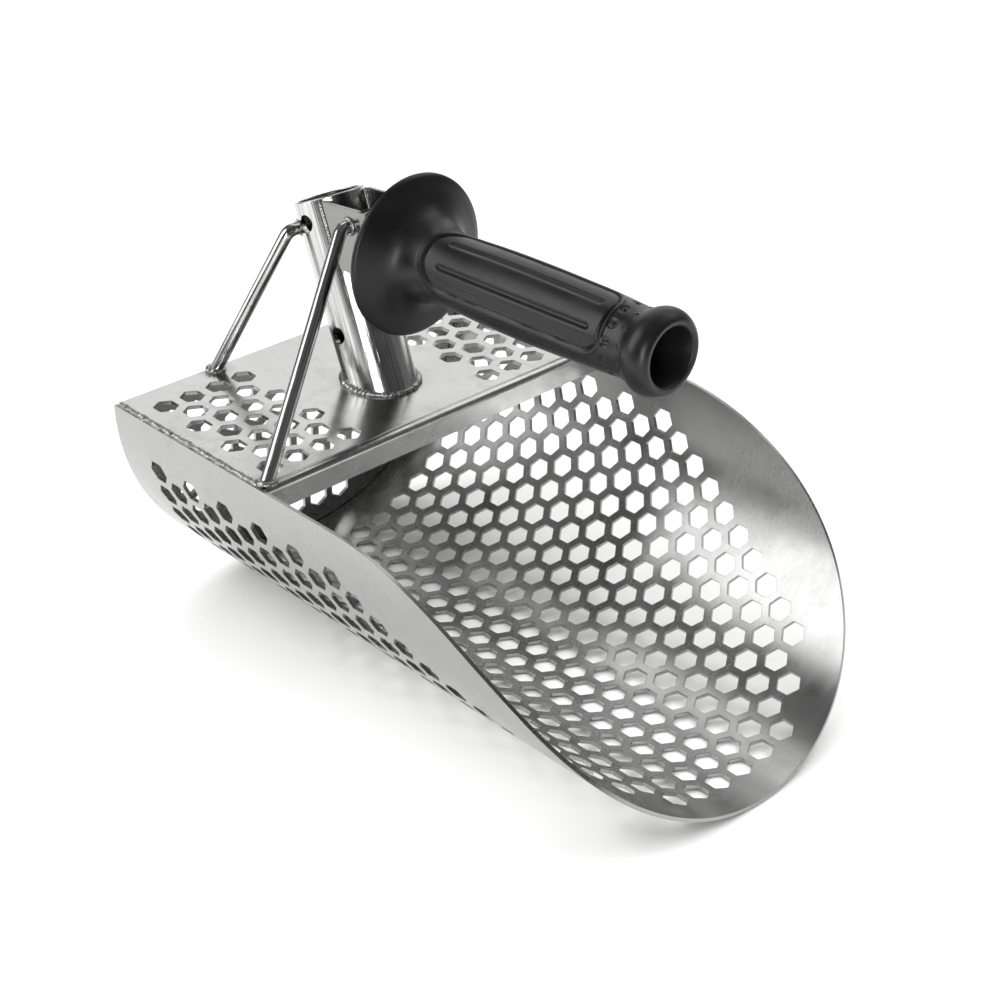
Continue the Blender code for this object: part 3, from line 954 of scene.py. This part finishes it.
# --- deck and rear plate ------------------------------------------------------------
@dataclass
class Deck:
    """The flat deck over the trough's rear, with its front edge folded down."""

    trough: Trough
    front: float = -33.4
    drop: float = 10.2
    fold_radius: float = 2.2
    pitch: float = 11.4
    block_x: float = 50.3
    shift: float = -2.2
    first_row: float = -22.6
    gap: float = 0.3
    rear_inset: float = 1.5
    rear_hole_reach: float = 73.5
    rear_low_row: float = -69.3
    heat_spots: tuple[tuple[float, float, float, float], ...] = ()

    @property
    def fold_start(self) -> float:
        """Where the fold begins."""
        return self.front + self.trough.sheet / 2 + self.fold_radius

    def fold(self, x: float, y: float, w: float) -> Vector:
        """Folds the blank: flat behind the fold, round it, then straight down.

        Args:
            x: distance across the deck.
            y: distance along the deck.
            w: height over the sheet's middle, up and forward.

        Returns:
            The point on the bench.
        """
        middle = self.trough.wall_top - self.trough.sheet / 2
        past = self.fold_start - y
        bend = self.fold_radius * math.pi / 2
        if past <= 0:
            return Vector((x, y, middle + w))
        reach = self.fold_radius + w
        if past < bend:
            angle = past / self.fold_radius
            return Vector((x, self.fold_start - reach * math.sin(angle),
                           middle - self.fold_radius + reach * math.cos(angle)))
        return Vector((x, self.fold_start - reach, middle - self.fold_radius - (past - bend)))

    def holes(self) -> list[Point2]:
        """Sets out two blocks of seven rows, of four and three holes by turns.

        Returns:
            The holes' middles on the blank.
        """
        holes = []
        for side in Side:
            for row in range(7):
                count = 4 - row % 2
                y = self.first_row + row * self.pitch * ROOT_3 / 2
                for i in range(count):
                    x = side.value * self.block_x + (i - (count - 1) / 2) * self.pitch
                    holes.append((x + self.shift, y))
        return holes

    def build(self) -> None:
        """Adds the folded deck."""
        sheet = self.trough.sheet
        half = self.trough.radius - sheet / 2 - self.gap
        bend = self.fold_radius * math.pi / 2
        front = self.fold_start - bend - (self.drop - sheet / 2 - self.fold_radius)
        inside = self.trough.radius - sheet / 2
        flange_half = math.sqrt(inside ** 2 - self.drop ** 2) - 2 * self.gap
        bends = spread(self.fold_start - bend, self.fold_start, 9)
        outline = ([(-flange_half, front), (flange_half, front)] + [(half, y) for y in bends]
                   + [(half, self.trough.rear), (-half, self.trough.rear)]
                   + [(-half, y) for y in reversed(bends)])
        creases = [[(x, y) for x in spread(-half, half, 7)] for y in bends]
        blank = SheetBlank(outline, self.holes(), creases=creases, thickness=sheet,
                           blank_corner=0.4)
        finish = BrushedSheet("stainless_sheet_brushed_deck", "#BABAB9", 0.22,
                              grain=Grain.ACROSS, heat_spots=self.heat_spots)
        add_piece("folded_deck", blank.mesh("folded_deck", self.fold), finish, Slot.SATIN,
                  ["deck_plate"])

    def rear_holes(self) -> list[Point2]:
        """Fills the half-round rear plate with rows of holes.

        Returns:
            The holes' middles as (x, z).
        """
        holes = []
        for row in range(7):
            z = self.rear_low_row + row * self.trough.pitch * ROOT_3 / 2
            for step in range(-13, 14):
                x = step * self.trough.pitch / 2
                if (step + row) % 2 and math.hypot(x, z) < self.rear_hole_reach:
                    holes.append((x, z))
        return holes

    def build_rear(self) -> None:
        """Adds the half-round plate that closes the trough's rear."""
        sheet = self.trough.sheet
        radius = self.trough.radius - sheet / 2 - self.gap
        top = self.trough.wall_top - sheet - self.gap
        reach = math.acos(-top / radius)
        arc = [(radius * math.sin(a), -radius * math.cos(a)) for a in spread(-reach, reach, 97)]
        middle = self.trough.rear - self.rear_inset - sheet / 2
        blank = SheetBlank(arc, self.rear_holes(), thickness=sheet, blank_corner=0.4)
        # The rear plate's grey is set a little darker than the deck's, though both are the same
        # sheet: painted shade.
        finish = BrushedSheet("stainless_sheet_brushed_rear", "#AAAAA9", 0.26,
                              grain=Grain.ACROSS)
        mesh = blank.mesh("rear_sieve_plate", lambda x, z, w: Vector((x, middle + w, z)))
        add_piece("rear_sieve_plate", mesh, finish, Slot.SATIN, ["rear_plate"])


# --- shaft socket -------------------------------------------------------------------
@dataclass
class ShaftSocket:
    """The leaning tube that takes a shaft, crossed by two bolt holes."""

    radius: float = 13.0
    wall: float = 1.5
    length: float = 70.6
    foot: float = 0.6
    lean: float = 22.3
    bolt_radius: float = 3.2
    bolt_heights: tuple[float, float] = (21.8, 63.0)
    rim: float = 0.35
    below: float = -12.0

    @property
    def axis(self) -> Vector:
        """Unit vector up the tube."""
        lean = math.radians(self.lean)
        return Vector((0.0, math.sin(lean), math.cos(lean)))

    @property
    def forward(self) -> Vector:
        """Unit vector square to the tube, towards the grip."""
        lean = math.radians(self.lean)
        return Vector((0.0, -math.cos(lean), math.sin(lean)))

    def at(self, height: float, x: float = 0.0, forward: float = 0.0) -> Vector:
        """A point in the tube's own frame, on the bench."""
        return Vector((x, self.foot, 0.0)) + self.axis * height + self.forward * forward

    def away(self, point: Vector) -> Vector:
        """Unit vector from the tube's axis through a point."""
        offset = point - self.at(0.0)
        return (offset - self.axis * offset.dot(self.axis)).normalized()

    def profile(self) -> list[Point2]:
        """Draws the wall's section, with straight flanks and a rounded rim.

        Returns:
            Its (radius, height) points, which run on below the deck.
        """
        outer, inner, top = self.radius, self.radius - self.wall, self.length
        turn = [math.radians(a) for a in (0, 30, 60, 90)]
        rim = [(outer - self.rim * (1 - math.cos(a)), top - self.rim * (1 - math.sin(a)))
               for a in turn]
        rim += [(inner + self.rim * (1 - math.sin(a)), top - self.rim * (1 - math.cos(a)))
                for a in turn]
        return [(outer, self.below)] + rim + [(inner, self.below)]

    def build(self, deck_top: float) -> None:
        """Adds the tube, cut level on the deck.

        Args:
            deck_top: height of the deck's top face.
        """
        mesh = turned_mesh("shaft_socket_tube", self.profile(), 160)
        turn = self.axis.to_track_quat("Z", "X").to_matrix().to_4x4()
        mesh.transform(Matrix.Translation(self.at(0.0)) @ turn)
        cutters = [box_mesh(Vector((-40, -40, -40)), Vector((40, 40, deck_top + 0.3)))]
        cutters += [rod_mesh(self.at(h, -30), self.at(h, 30), self.bolt_radius)
                    for h in self.bolt_heights]
        mesh = cut(mesh, cutters)
        mesh.name = "shaft_socket_tube"
        round_true(mesh, self.away)
        flat = turn.inverted()
        mark_drawn(mesh, [flat @ (v.co - self.at(0.0)) for v in mesh.vertices])
        add_piece("shaft_socket_tube", mesh, POLISHED_STEEL, Slot.POLISHED, ["shaft_socket"])


# --- handle -------------------------------------------------------------------------
@dataclass
class GripRelief:
    """The moulded detail of the grip: two panels with a groove round them, long flutes in
    each, and two rings of pips before the end bead."""

    panel_turn: float = 43.0
    panel_half: float = 12.6
    panel_start: float = 15.6
    panel_end: float = 96.0
    start_corner: float = 11.0
    end_corner: float = 7.0
    groove: float = 0.8
    groove_half: float = 0.7
    flute_turns: tuple[float, ...] = (-23.0, 20.0, 42.0)
    flute_depths: tuple[float, ...] = (0.5, 0.95, 0.22)
    flute_half: float = 1.3
    pip_spacing: float = 30.0
    pip_turn: float = 15.0
    dimple_ring: float = 99.6
    pip_ring: float = 105.0

    def panel_distance(self, along: float, round_: float) -> float:
        """Signed distance to a panel's outline, negative inside.

        Args:
            along: distance past the guard.
            round_: distance round the grip from the panel's middle line.

        Returns:
            The distance to the rounded outline.
        """
        middle = (self.panel_start + self.panel_end) / 2
        corner = self.start_corner if along < middle else self.end_corner
        x = abs(along - middle) - (self.panel_end - self.panel_start) / 2 + corner
        y = abs(round_) - self.panel_half + corner
        return math.hypot(max(x, 0.0), max(y, 0.0)) + min(max(x, y), 0.0) - corner

    def panel(self, along: float, turn: float, radius: float) -> float:
        """Shapes the nearer of the two panels.

        Args:
            along: distance past the guard.
            turn: degrees round the grip.
            radius: the plain grip's radius there.

        Returns:
            How far the relief stands out, negative in grooves.
        """
        off = (turn - self.panel_turn + 90.0) % 180.0 - 90.0
        distance = self.panel_distance(along, math.radians(off) * radius)
        if distance > 3.0:
            return 0.0
        height = -self.groove * ease(1 - abs(distance) / self.groove_half)
        height += 0.3 * ease(1 - abs(distance - 1.4) / 0.85)
        height -= 0.22 * ease(-distance)
        for middle, depth in zip(self.flute_turns, self.flute_depths):
            side = abs(math.radians(off - middle)) * radius
            end = max(self.panel_start + 7.5 - along, along - self.panel_end + 5.5, 0.0)
            height -= depth * ease(1 - math.hypot(side, end) / self.flute_half / 1.25)
        return height

    def pips(self, along: float, turn: float, radius: float) -> float:
        """Shapes the two rings of pips, the first of them in shallow dimples.

        Args:
            along: distance past the guard.
            turn: degrees round the grip.
            radius: the plain grip's radius there.

        Returns:
            How far the relief stands out, negative in dimples.
        """
        off = (turn - self.pip_turn + self.pip_spacing / 2) % self.pip_spacing
        off -= self.pip_spacing / 2
        side = math.radians(off) * radius
        height = 0.0
        near = math.hypot(side, along - self.dimple_ring)
        if near < 2.2:
            height += 0.6 * ease(1.25 - near / 1.0) - 0.34 * ease((2.0 - near) / 0.8)
        near = math.hypot(side, along - self.pip_ring)
        if near < 1.2:
            height += 0.42 * ease(1.2 - near / 0.8)
        return height


@dataclass
class Handle:
    """The bent channel, its core tube and the rubber grip with its guard disc."""

    trough: Trough
    socket: ShaftSocket
    guard: tuple[float, float, float] = (0.0, -19.6, 56.4)
    tilt: float = 1.6
    bracket_half: float = 11.0
    bracket_front: float = 14.1
    bracket_top: float = 70.0
    bracket_top_rear: float = 68.0
    bracket_bottom: float = 45.3
    bracket_bend: float = 3.5
    core_radius: float = 9.5
    core_wall: float = 1.5
    core_reach: float = 82.0
    bore: float = 9.8
    gap: float = 0.3
    grip_step: float = 0.37
    relief_from: float = 13.0
    relief_to: float = 112.0
    relief: GripRelief = field(default_factory=GripRelief)
    profile: tuple[Point2, ...] = (
        (-1.0, 28.82), (-0.2, 28.75), (0.5, 28.3), (1.5, 26.4), (2.6, 23.2), (4.4, 19.2),
        (7.4, 15.8), (12.0, 13.6), (17.0, 12.85), (24.0, 12.7), (42.0, 13.3), (60.0, 13.35),
        (78.0, 13.0), (93.0, 12.55), (99.0, 12.15), (104.0, 12.0), (106.2, 12.4), (108.3, 13.7),
        (110.9, 14.6), (113.6, 14.45), (116.0, 13.3), (117.3, 11.7), (117.2, 10.4))

    def place(self) -> Matrix:
        """The frame whose -Y runs along the grip from the guard's middle."""
        return Matrix.Translation(self.guard) @ Matrix.Rotation(-math.radians(self.tilt), 4, "X")

    def bracket_mesh(self) -> bpy.types.Mesh:
        """Cuts the channel as a flat strip and bends it to a U that opens to the rear.

        Returns:
            The channel's mesh.
        """
        sheet = self.trough.sheet
        half, bend = self.bracket_half - sheet / 2, self.bracket_bend - sheet / 2
        front = self.guard[1] + self.bracket_front + sheet / 2
        flat_half, arc = half - bend, bend * math.pi / 2
        lean = math.radians(self.socket.lean)
        clear = (self.socket.radius - 3.5) / math.cos(lean) + self.gap

        def reach(z: float) -> float:
            """Half the strip's length at a height, up to the socket's flank."""
            rear = self.socket.foot + z * math.tan(lean) - clear
            return flat_half + arc + rear - front - bend

        def fold(u: float, z: float, w: float) -> Vector:
            """Bends the strip.

            Args:
                u: distance along the strip from its middle.
                z: height on the bench.
                w: height over the sheet's middle, outwards.

            Returns:
                The point on the bench.
            """
            side, past = math.copysign(1.0, u), abs(u) - flat_half
            if past <= 0:
                return Vector((u, front - w, z))
            if past < arc:
                turn = past / bend
                return Vector((side * (flat_half + (bend + w) * math.sin(turn)),
                               front + bend - (bend + w) * math.cos(turn), z))
            return Vector((side * (half + w), front + bend + past - arc, z))

        low, high, rear = self.bracket_bottom, self.bracket_top, self.bracket_top_rear
        bends = spread(flat_half, flat_half + arc, 7)
        outline = ([(-reach(low), low), (reach(low), low), (reach(rear), rear),
                    (flat_half + arc, high), (-flat_half - arc, high), (-reach(rear), rear)])
        inset = SheetBlank.edge
        creases = [[(side.value * u, low + inset), (side.value * u, high - inset)]
                   for side in Side for u in bends[:-1]]
        blank = SheetBlank(outline, creases=creases, thickness=sheet, blank_corner=0.5)
        return blank.mesh("grip_channel", fold)

    def build_bracket(self) -> None:
        """Adds the channel."""
        # The channel's grey is set darkest of the sheet parts, though all are the same sheet:
        # painted shade.
        finish = BrushedSheet("stainless_sheet_brushed_channel", "#848483", 0.22,
                              grain=Grain.ALONG, smudge_mm=12.0)
        add_piece("grip_channel", self.bracket_mesh(), finish, Slot.POLISHED,
                  ["handle_bracket"])

    def build_core(self) -> None:
        """Adds the steel tube inside the grip."""
        outer, inner = self.core_radius, self.core_radius - self.core_wall
        rear, front = self.bracket_front - self.gap, -self.core_reach
        mesh = turned_mesh("grip_core_tube", [(outer, front), (outer, rear), (inner, rear),
                           (inner, front)], 96)
        mesh.transform(Matrix.Rotation(math.radians(-90), 4, "X"))
        round_true(mesh, lambda p: Vector((p.x, 0.0, p.z)).normalized())
        mark_drawn(mesh, [v.co.xzy for v in mesh.vertices])
        add_piece("grip_core_tube", mesh, POLISHED_STEEL, Slot.SATIN, ["handle_core"],
                  self.place())

    def grip_rows(self) -> list[Point2]:
        """Draws the grip's section at even steps.

        Returns:
            Its (distance past the guard, radius) points, from inside its collar round the
            outside to its bore.
        """
        collar = [(-6.6, self.bore), (-7.0, 10.3), (-7.0, 12.5), (-6.5, 13.1), (-2.6, 13.2),
                  (-1.9, 13.6), (-1.6, 14.6), (-1.45, 20.0), (-1.5, 27.4), (-1.45, 28.2)]
        outside = smooth_curve(self.profile, 9)
        even: list[Point2] = [outside[0]]
        for point in outside[1:]:
            last = Vector(even[-1])
            run = Vector(point) - last
            steps = max(1, round(run.length / self.grip_step))
            even += [tuple(last + run * k / steps) for k in range(1, steps + 1)]
        inside = [(116.6, self.bore), (80.0, self.bore), (40.0, self.bore)]
        return collar + even + inside

    def build_grip(self) -> None:
        """Adds the rubber grip with its moulded relief."""
        rows, columns = self.grip_rows(), 272
        bm = bmesh.new()
        rings = []
        for turn in spread(0, 360, columns + 1)[:-1]:
            angle = math.radians(turn)
            ring = []
            for along, radius in rows:
                reach = radius
                if self.relief_from < along < self.relief_to and radius > self.bore + 0.5:
                    reach += self.relief.panel(along, turn, radius)
                    reach += self.relief.pips(along, turn, radius)
                ring.append(bm.verts.new((-reach * math.sin(angle), -along,
                                          reach * math.cos(angle))))
            rings.append(ring)
        skin(bm, rings)
        mesh = mesh_of("moulded_grip", bm)
        smooth_shade(mesh, 50)
        add_piece("moulded_grip", mesh, RUBBER, Slot.RUBBER, ["rubber_grip"], self.place())


# --- braces and welds ---------------------------------------------------------------
@dataclass
class WeldBead:
    """A hand-laid bead: a row of overlapping crescents along a path."""

    radius: float = 1.0
    ripple: float = 1.25
    depth: float = 0.2
    wander: float = 0.1

    def mesh(self, name: str, path: Sequence[Vector], closed: bool = False) -> bpy.types.Mesh:
        """Lays the bead.

        Args:
            name: the mesh's name.
            path: points of the seam.
            closed: True for a seam that meets its own start.

        Returns:
            The rippled bead.
        """
        line = resample(path, self.ripple / 6, closed)

        def reach(so_far: float, whole: float, angle: float) -> float:
            """Shapes the crescents.

            Args:
                so_far: length of bead before this ring.
                whole: the bead's whole length.
                angle: the angle round the bead.

            Returns:
                The bead's radius there.
            """
            count = max(1, round(whole / self.ripple))
            phase = so_far / whole * count - 0.35 * (1 - math.cos(angle))
            crescent = abs(math.sin(math.pi * phase)) ** 0.6
            drift = noise.noise(Vector((so_far * 0.35, len(name) * 1.7, 0.0)))
            taper = 1.0 if closed else ease(min(so_far, whole - so_far) / self.radius + 0.25)
            size = 1 - self.depth + self.depth * crescent + self.wander * drift
            return self.radius * size * taper

        mesh = swept_mesh(name, line, 14, closed, reach)
        mesh.shade_smooth()
        return mesh


def resample(path: Sequence[Vector], step: float, closed: bool) -> list[Vector]:
    """Points at even steps along a path.

    Args:
        path: the path's points.
        step: the wanted distance between points.
        closed: True if the path runs back into its start.

    Returns:
        The new points, the path's ends among them.
    """
    ends = list(path) + ([path[0]] if closed else [])
    line: list[Vector] = []
    for a, b in zip(ends, ends[1:]):
        pieces = max(1, round((b - a).length / step))
        line += [a.lerp(b, k / pieces) for k in range(pieces)]
    return line if closed else line + [ends[-1]]


@dataclass
class Brace:
    """A polished rod from the deck to the socket or to the grip's channel."""

    name: str
    foot: Vector
    elbow: Vector
    end_x: float
    side: Side
    top_bead: float
    foot_bead: float = 1.15
    radius: float = 2.45
    bend: float = 2.6

    def on_side(self, point: Vector) -> Vector:
        """The point on this brace's side of the scoop."""
        return Vector((self.side.value * abs(point.x), point.y, point.z))

    def path(self) -> list[Vector]:
        """Draws the rod's centre line with its short bent stub.

        Returns:
            Its points, from the foot to the stub's end.
        """
        foot, elbow = self.on_side(self.foot), self.on_side(self.elbow)
        end = Vector((self.side.value * self.end_x, elbow.y, elbow.z))
        into, out = (elbow - foot).normalized(), (end - elbow).normalized()
        bend = min(self.bend, (end - elbow).length * 0.9)
        first, last = elbow - into * bend, elbow + out * bend
        turn = [first.lerp(elbow, t).lerp(elbow.lerp(last, t), t) for t in spread(0, 1, 12)]
        return [foot, *resample([foot, first], 4.0, False)[1:-1], *turn, end]

    def build(self) -> None:
        """Adds the rod, its foot weld and its top weld."""
        path = self.path()
        rod = swept_mesh(self.name, path, 40, False, lambda so_far, whole, angle: self.radius)
        smooth_shade(rod, 40)
        add_piece(self.name + "_rod", rod, POLISHED_STEEL, Slot.POLISHED, [self.name])
        run = (path[1] - path[0]).normalized()
        lift = Vector((0.0, 0.0, 0.4))
        self.collar(self.name + "_foot_bead", self.name + "_foot_weld",
                    path[0] + lift, Vector((run.x * 0.25, run.y * 0.25, 1.0)),
                    self.foot_bead)
        out = (path[-1] - path[-2]).normalized()
        self.collar(self.name + "_top_bead", self.name + "_top_weld",
                    path[-1] - out * 0.2, out, self.top_bead)

    def collar(self, name: str, node: str, centre: Vector, axis: Vector, size: float) -> None:
        """A rough ring of weld round the rod.

        Args:
            name: the piece's name.
            node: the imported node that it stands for.
            centre: the ring's middle.
            axis: the ring's axis.
            size: radius of its bead.
        """
        turn = axis.to_track_quat("Z", "Y").to_matrix()
        ring_radius = self.radius + 0.3 * size
        ring = []
        for a in spread(0, math.tau, 25)[:-1]:
            rough = 1 + 0.10 * noise.noise(Vector((math.cos(a) * 2, math.sin(a) * 2, centre.x)))
            ring.append(centre + turn @ Vector((math.cos(a), math.sin(a), 0.0))
                        * ring_radius * rough)
        bead = WeldBead(radius=size, ripple=1.7, depth=0.24, wander=0.28)
        add_piece(name, bead.mesh(name, ring, closed=True), WELD_METAL, Slot.WELD, [node])


@dataclass
class Seams:
    """The weld beads that join the sheets, the socket and the handle."""

    trough: Trough
    deck: Deck
    socket: ShaftSocket
    handle: Handle
    channel_forward: float = 8.2

    def lay(self, name: str, node: str, path: Sequence[Vector], bead: WeldBead,
            closed: bool = False, place: Matrix | None = None) -> None:
        """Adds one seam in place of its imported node."""
        add_piece(name, bead.mesh(name, path, closed), WELD_METAL, Slot.WELD, [node], place)

    def build(self) -> None:
        """Adds every seam."""
        trough, socket = self.trough, self.socket
        level = trough.wall_top + 0.15
        for side in Side:
            label, hand = side.name.lower(), side.value
            x = hand * (trough.radius - 0.85)
            seam = [Vector((x + 0.12 * math.sin(y * 0.9), y, level))
                    for y in spread(-30.5, 49, 64)]
            self.lay(label + "_seam_bead", label + "_seam_weld", seam,
                     WeldBead(radius=1.25, ripple=1.7, depth=0.5, wander=0.32))
            forward = self.channel_forward
            x = hand * math.sqrt((socket.radius + 0.3) ** 2 - forward ** 2)
            seam = [socket.at(h, x, forward) for h in spread(53, 69.5, 8)]
            self.lay(label + "_channel_bead", label + "_bracket_weld", seam,
                     WeldBead(radius=0.85, ripple=1.2))
        ring, reach = [], socket.radius + 0.45
        for a in spread(0, math.tau, 61)[:-1]:
            x, forward = reach * math.cos(a), reach * math.sin(a)
            height = (trough.wall_top + 0.5 - forward * socket.forward.z) / socket.axis.z
            ring.append(socket.at(height, x, forward))
        self.lay("socket_foot_bead", "socket_base_weld", ring,
                 WeldBead(radius=1.15, ripple=1.6, depth=0.34, wander=0.42), closed=True)
        y = trough.rear - self.deck.rear_inset + 0.5
        arc_radius = trough.radius - trough.sheet / 2 - 0.5
        arc = [Vector((arc_radius * math.sin(a), y, -arc_radius * math.cos(a)))
               for a in spread(math.radians(-84), math.radians(84), 90)]
        self.lay("rear_arc_bead", "rear_arc_weld", arc, WeldBead(radius=0.95, ripple=1.6))
        z = trough.wall_top - trough.sheet - 0.4
        top = [Vector((x, y, z)) for x in spread(-72, 72, 20)]
        self.lay("rear_top_bead", "rear_top_weld", top, WeldBead(radius=0.9, ripple=1.6))
        reach, face = self.handle.core_radius + 0.4, self.handle.bracket_front - 0.4
        ring = [Vector((reach * math.cos(a), face, reach * math.sin(a)))
                for a in spread(0, math.tau, 49)[:-1]]
        self.lay("grip_core_bead", "handle_core_weld", ring, WeldBead(radius=1.0, ripple=1.5),
                 closed=True, place=self.handle.place())


# --- studio -------------------------------------------------------------------------
@dataclass
class SoftBox:
    """A rectangular soft light, hung by its direction from the scoop.

    Azimuths run from +Y towards +X.  A glow of 1 looks as bright as lit white paper.
    An unmirrored box lights dull surfaces only, like a ceiling far out of polished metal's view.
    """

    name: str
    azimuth: float
    elevation: float
    distance: float
    width: float
    height: float
    glow: float
    mirrored: bool = True

    def build(self, target: Vector) -> None:
        """Hangs the light.

        Args:
            target: the point that it faces, in metres.
        """
        data = bpy.data.lights.new(self.name, "AREA")
        data.shape = "RECTANGLE"
        data.size = self.width
        data.size_y = self.height
        data.energy = self.glow * math.pi * self.width * self.height
        light = bpy.data.objects.new(self.name, data)
        turn, lift = math.radians(self.azimuth), math.radians(self.elevation)
        away = Vector((math.sin(turn) * math.cos(lift), math.cos(turn) * math.cos(lift),
                       math.sin(lift)))
        light.location = target + away * self.distance
        light.rotation_euler = away.to_track_quat("Z", "Y").to_euler()
        light.visible_glossy = self.mirrored
        bpy.context.scene.collection.objects.link(light)


@dataclass
class Studio:
    """A pale floor, soft light from above and the sides, and the camera.

    The eye is in bench millimetres, and the floor and the boxes are in metres.  The scoop's
    belly stands floor_gap millimetres over the floor.
    """

    eye: tuple[float, float, float] = (-414.03, -487.77, 323.79)
    azimuth: float = -44.18
    elevation: float = 30.26
    roll: float = 0.597
    lens: float = 70.69
    sensor: float = 36.0
    floor_half: float = 6.0
    floor_gap: float = 0.2
    room: float = 0.21
    room_behind: float = 0.09
    boxes: tuple[SoftBox, ...] = (
        SoftBox("left_rear_softbox", -52.0, 31.0, 1.2, 0.8, 1.1, 3.1),
        SoftBox("right_rear_softbox", 47.0, 22.0, 1.5, 1.4, 0.9, 1.15),
        SoftBox("right_high_softbox", 44.0, 53.0, 1.4, 0.9, 0.45, 1.4),
        SoftBox("right_softbox", 103.0, 46.0, 1.3, 0.7, 0.7, 1.5),
        SoftBox("front_strip", -129.0, 12.0, 1.4, 0.24, 0.75, 12.0),
        SoftBox("ceiling", 0.0, 89.0, 3.0, 6.0, 6.0, 1.71, mirrored=False),
    )

    def build_floor(self) -> None:
        """Adds the floor under the scoop's belly."""
        bm = bmesh.new()
        bmesh.ops.create_grid(bm, x_segments=1, y_segments=1, size=self.floor_half)
        mesh = mesh_of("floor", bm)
        floor = bpy.data.objects.new("floor", mesh)
        floor.location.z = CAD_BOX[0].z - self.floor_gap * MM
        mesh.materials.append(PALE_FLOOR.material())
        bpy.context.scene.collection.objects.link(floor)
        floor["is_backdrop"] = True

    def build_room(self) -> None:
        """Surrounds the scoop with a grey room that is dark behind the viewer."""
        world = bpy.data.worlds.new("studio")
        world.use_nodes = True
        tree = world.node_tree
        turn = math.radians(self.azimuth)
        ahead = (-math.sin(turn), math.cos(turn), 0.0)
        look = add_node(tree, "TexCoord").outputs["Generated"]
        share = add_node(tree, "VectorMath", {0: look, 1: ahead}, operation="DOT_PRODUCT")
        shade = add_node(tree, "MapRange", {0: share.outputs["Value"], 1: -0.7, 2: 0.3,
                         3: self.room_behind, 4: self.room})
        tree.links.new(shade.outputs[0], tree.nodes["Background"].inputs["Color"])
        bpy.context.scene.world = world

    def build_camera(self) -> None:
        """Sets the camera at the viewing angle."""
        data = bpy.data.cameras.new("camera")
        data.lens = self.lens
        data.sensor_width = self.sensor
        data.clip_start = 0.01
        camera = bpy.data.objects.new("camera", data)
        turn = (Matrix.Rotation(math.radians(self.azimuth), 4, "Z")
                @ Matrix.Rotation(math.radians(90 - self.elevation), 4, "X")
                @ Matrix.Rotation(math.radians(self.roll), 4, "Z"))
        camera.matrix_world = Matrix.Translation(bench_origin() + Vector(self.eye) * MM) @ turn
        bpy.context.scene.collection.objects.link(camera)
        bpy.context.scene.camera = camera

    def build(self) -> None:
        """Adds the floor, the lights and the camera."""
        self.build_floor()
        self.build_room()
        target = (CAD_BOX[0] + CAD_BOX[1]) / 2
        for box in self.boxes:
            box.build(target)
        self.build_camera()
        bpy.context.scene.view_settings.view_transform = "Standard"


# --- the whole scoop ----------------------------------------------------------------
def braces(handle: Handle, socket: ShaftSocket, trough: Trough) -> list[Brace]:
    """The four brace rods.

    Args:
        handle: the handle, whose channel takes the front rods.
        socket: the tube that takes the rear rods.
        trough: the trough, for the deck's height.

    Returns:
        The front and rear rods of both sides.
    """
    rods = []
    deck = trough.wall_top
    for side in Side:
        label = side.name.lower()
        front = Brace("front_%s_brace" % label, Vector((77.6, -31.0, deck)),
                      Vector((14.6, 3.1, 63.3)), handle.bracket_half, side, 0.8)
        elbow = Vector((16.0, 31.1, 54.4))
        off_axis = abs((Vector((0.0, elbow.y, elbow.z)) - socket.at(0.0)).dot(socket.forward))
        wall = math.sqrt(socket.radius ** 2 - off_axis ** 2)
        rear = Brace("rear_%s_brace" % label, Vector((39.4, 48.0, deck)), elbow, wall, side, 0.5)
        rods += [front, rear]
    return rods


def main() -> None:
    """Builds the scoop and the studio and logs the visual box."""
    logging.basicConfig(level=logging.INFO, format="%(name)s %(message)s")
    trough = Trough()
    socket = ShaftSocket()
    handle = Handle(trough, socket)
    rods = braces(handle, socket, trough)
    spots = tuple((*rod.on_side(rod.foot), 9.0) for rod in rods)
    deck = Deck(trough, heat_spots=spots + ((0.0, 1.0, trough.wall_top, 21.0),))
    trough.build()
    deck.build()
    deck.build_rear()
    socket.build(trough.wall_top)
    handle.build_bracket()
    handle.build_core()
    handle.build_grip()
    for rod in rods:
        rod.build()
    Seams(trough, deck, socket, handle).build()
    Studio().build()
    boxes = {"cad": CAD_BOX, "visual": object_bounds()}
    {name: [list(corner) for corner in box] for name, box in boxes.items()}
    log.info("visual box %s", boxes["visual"])


if __name__ == "__main__":
    main()
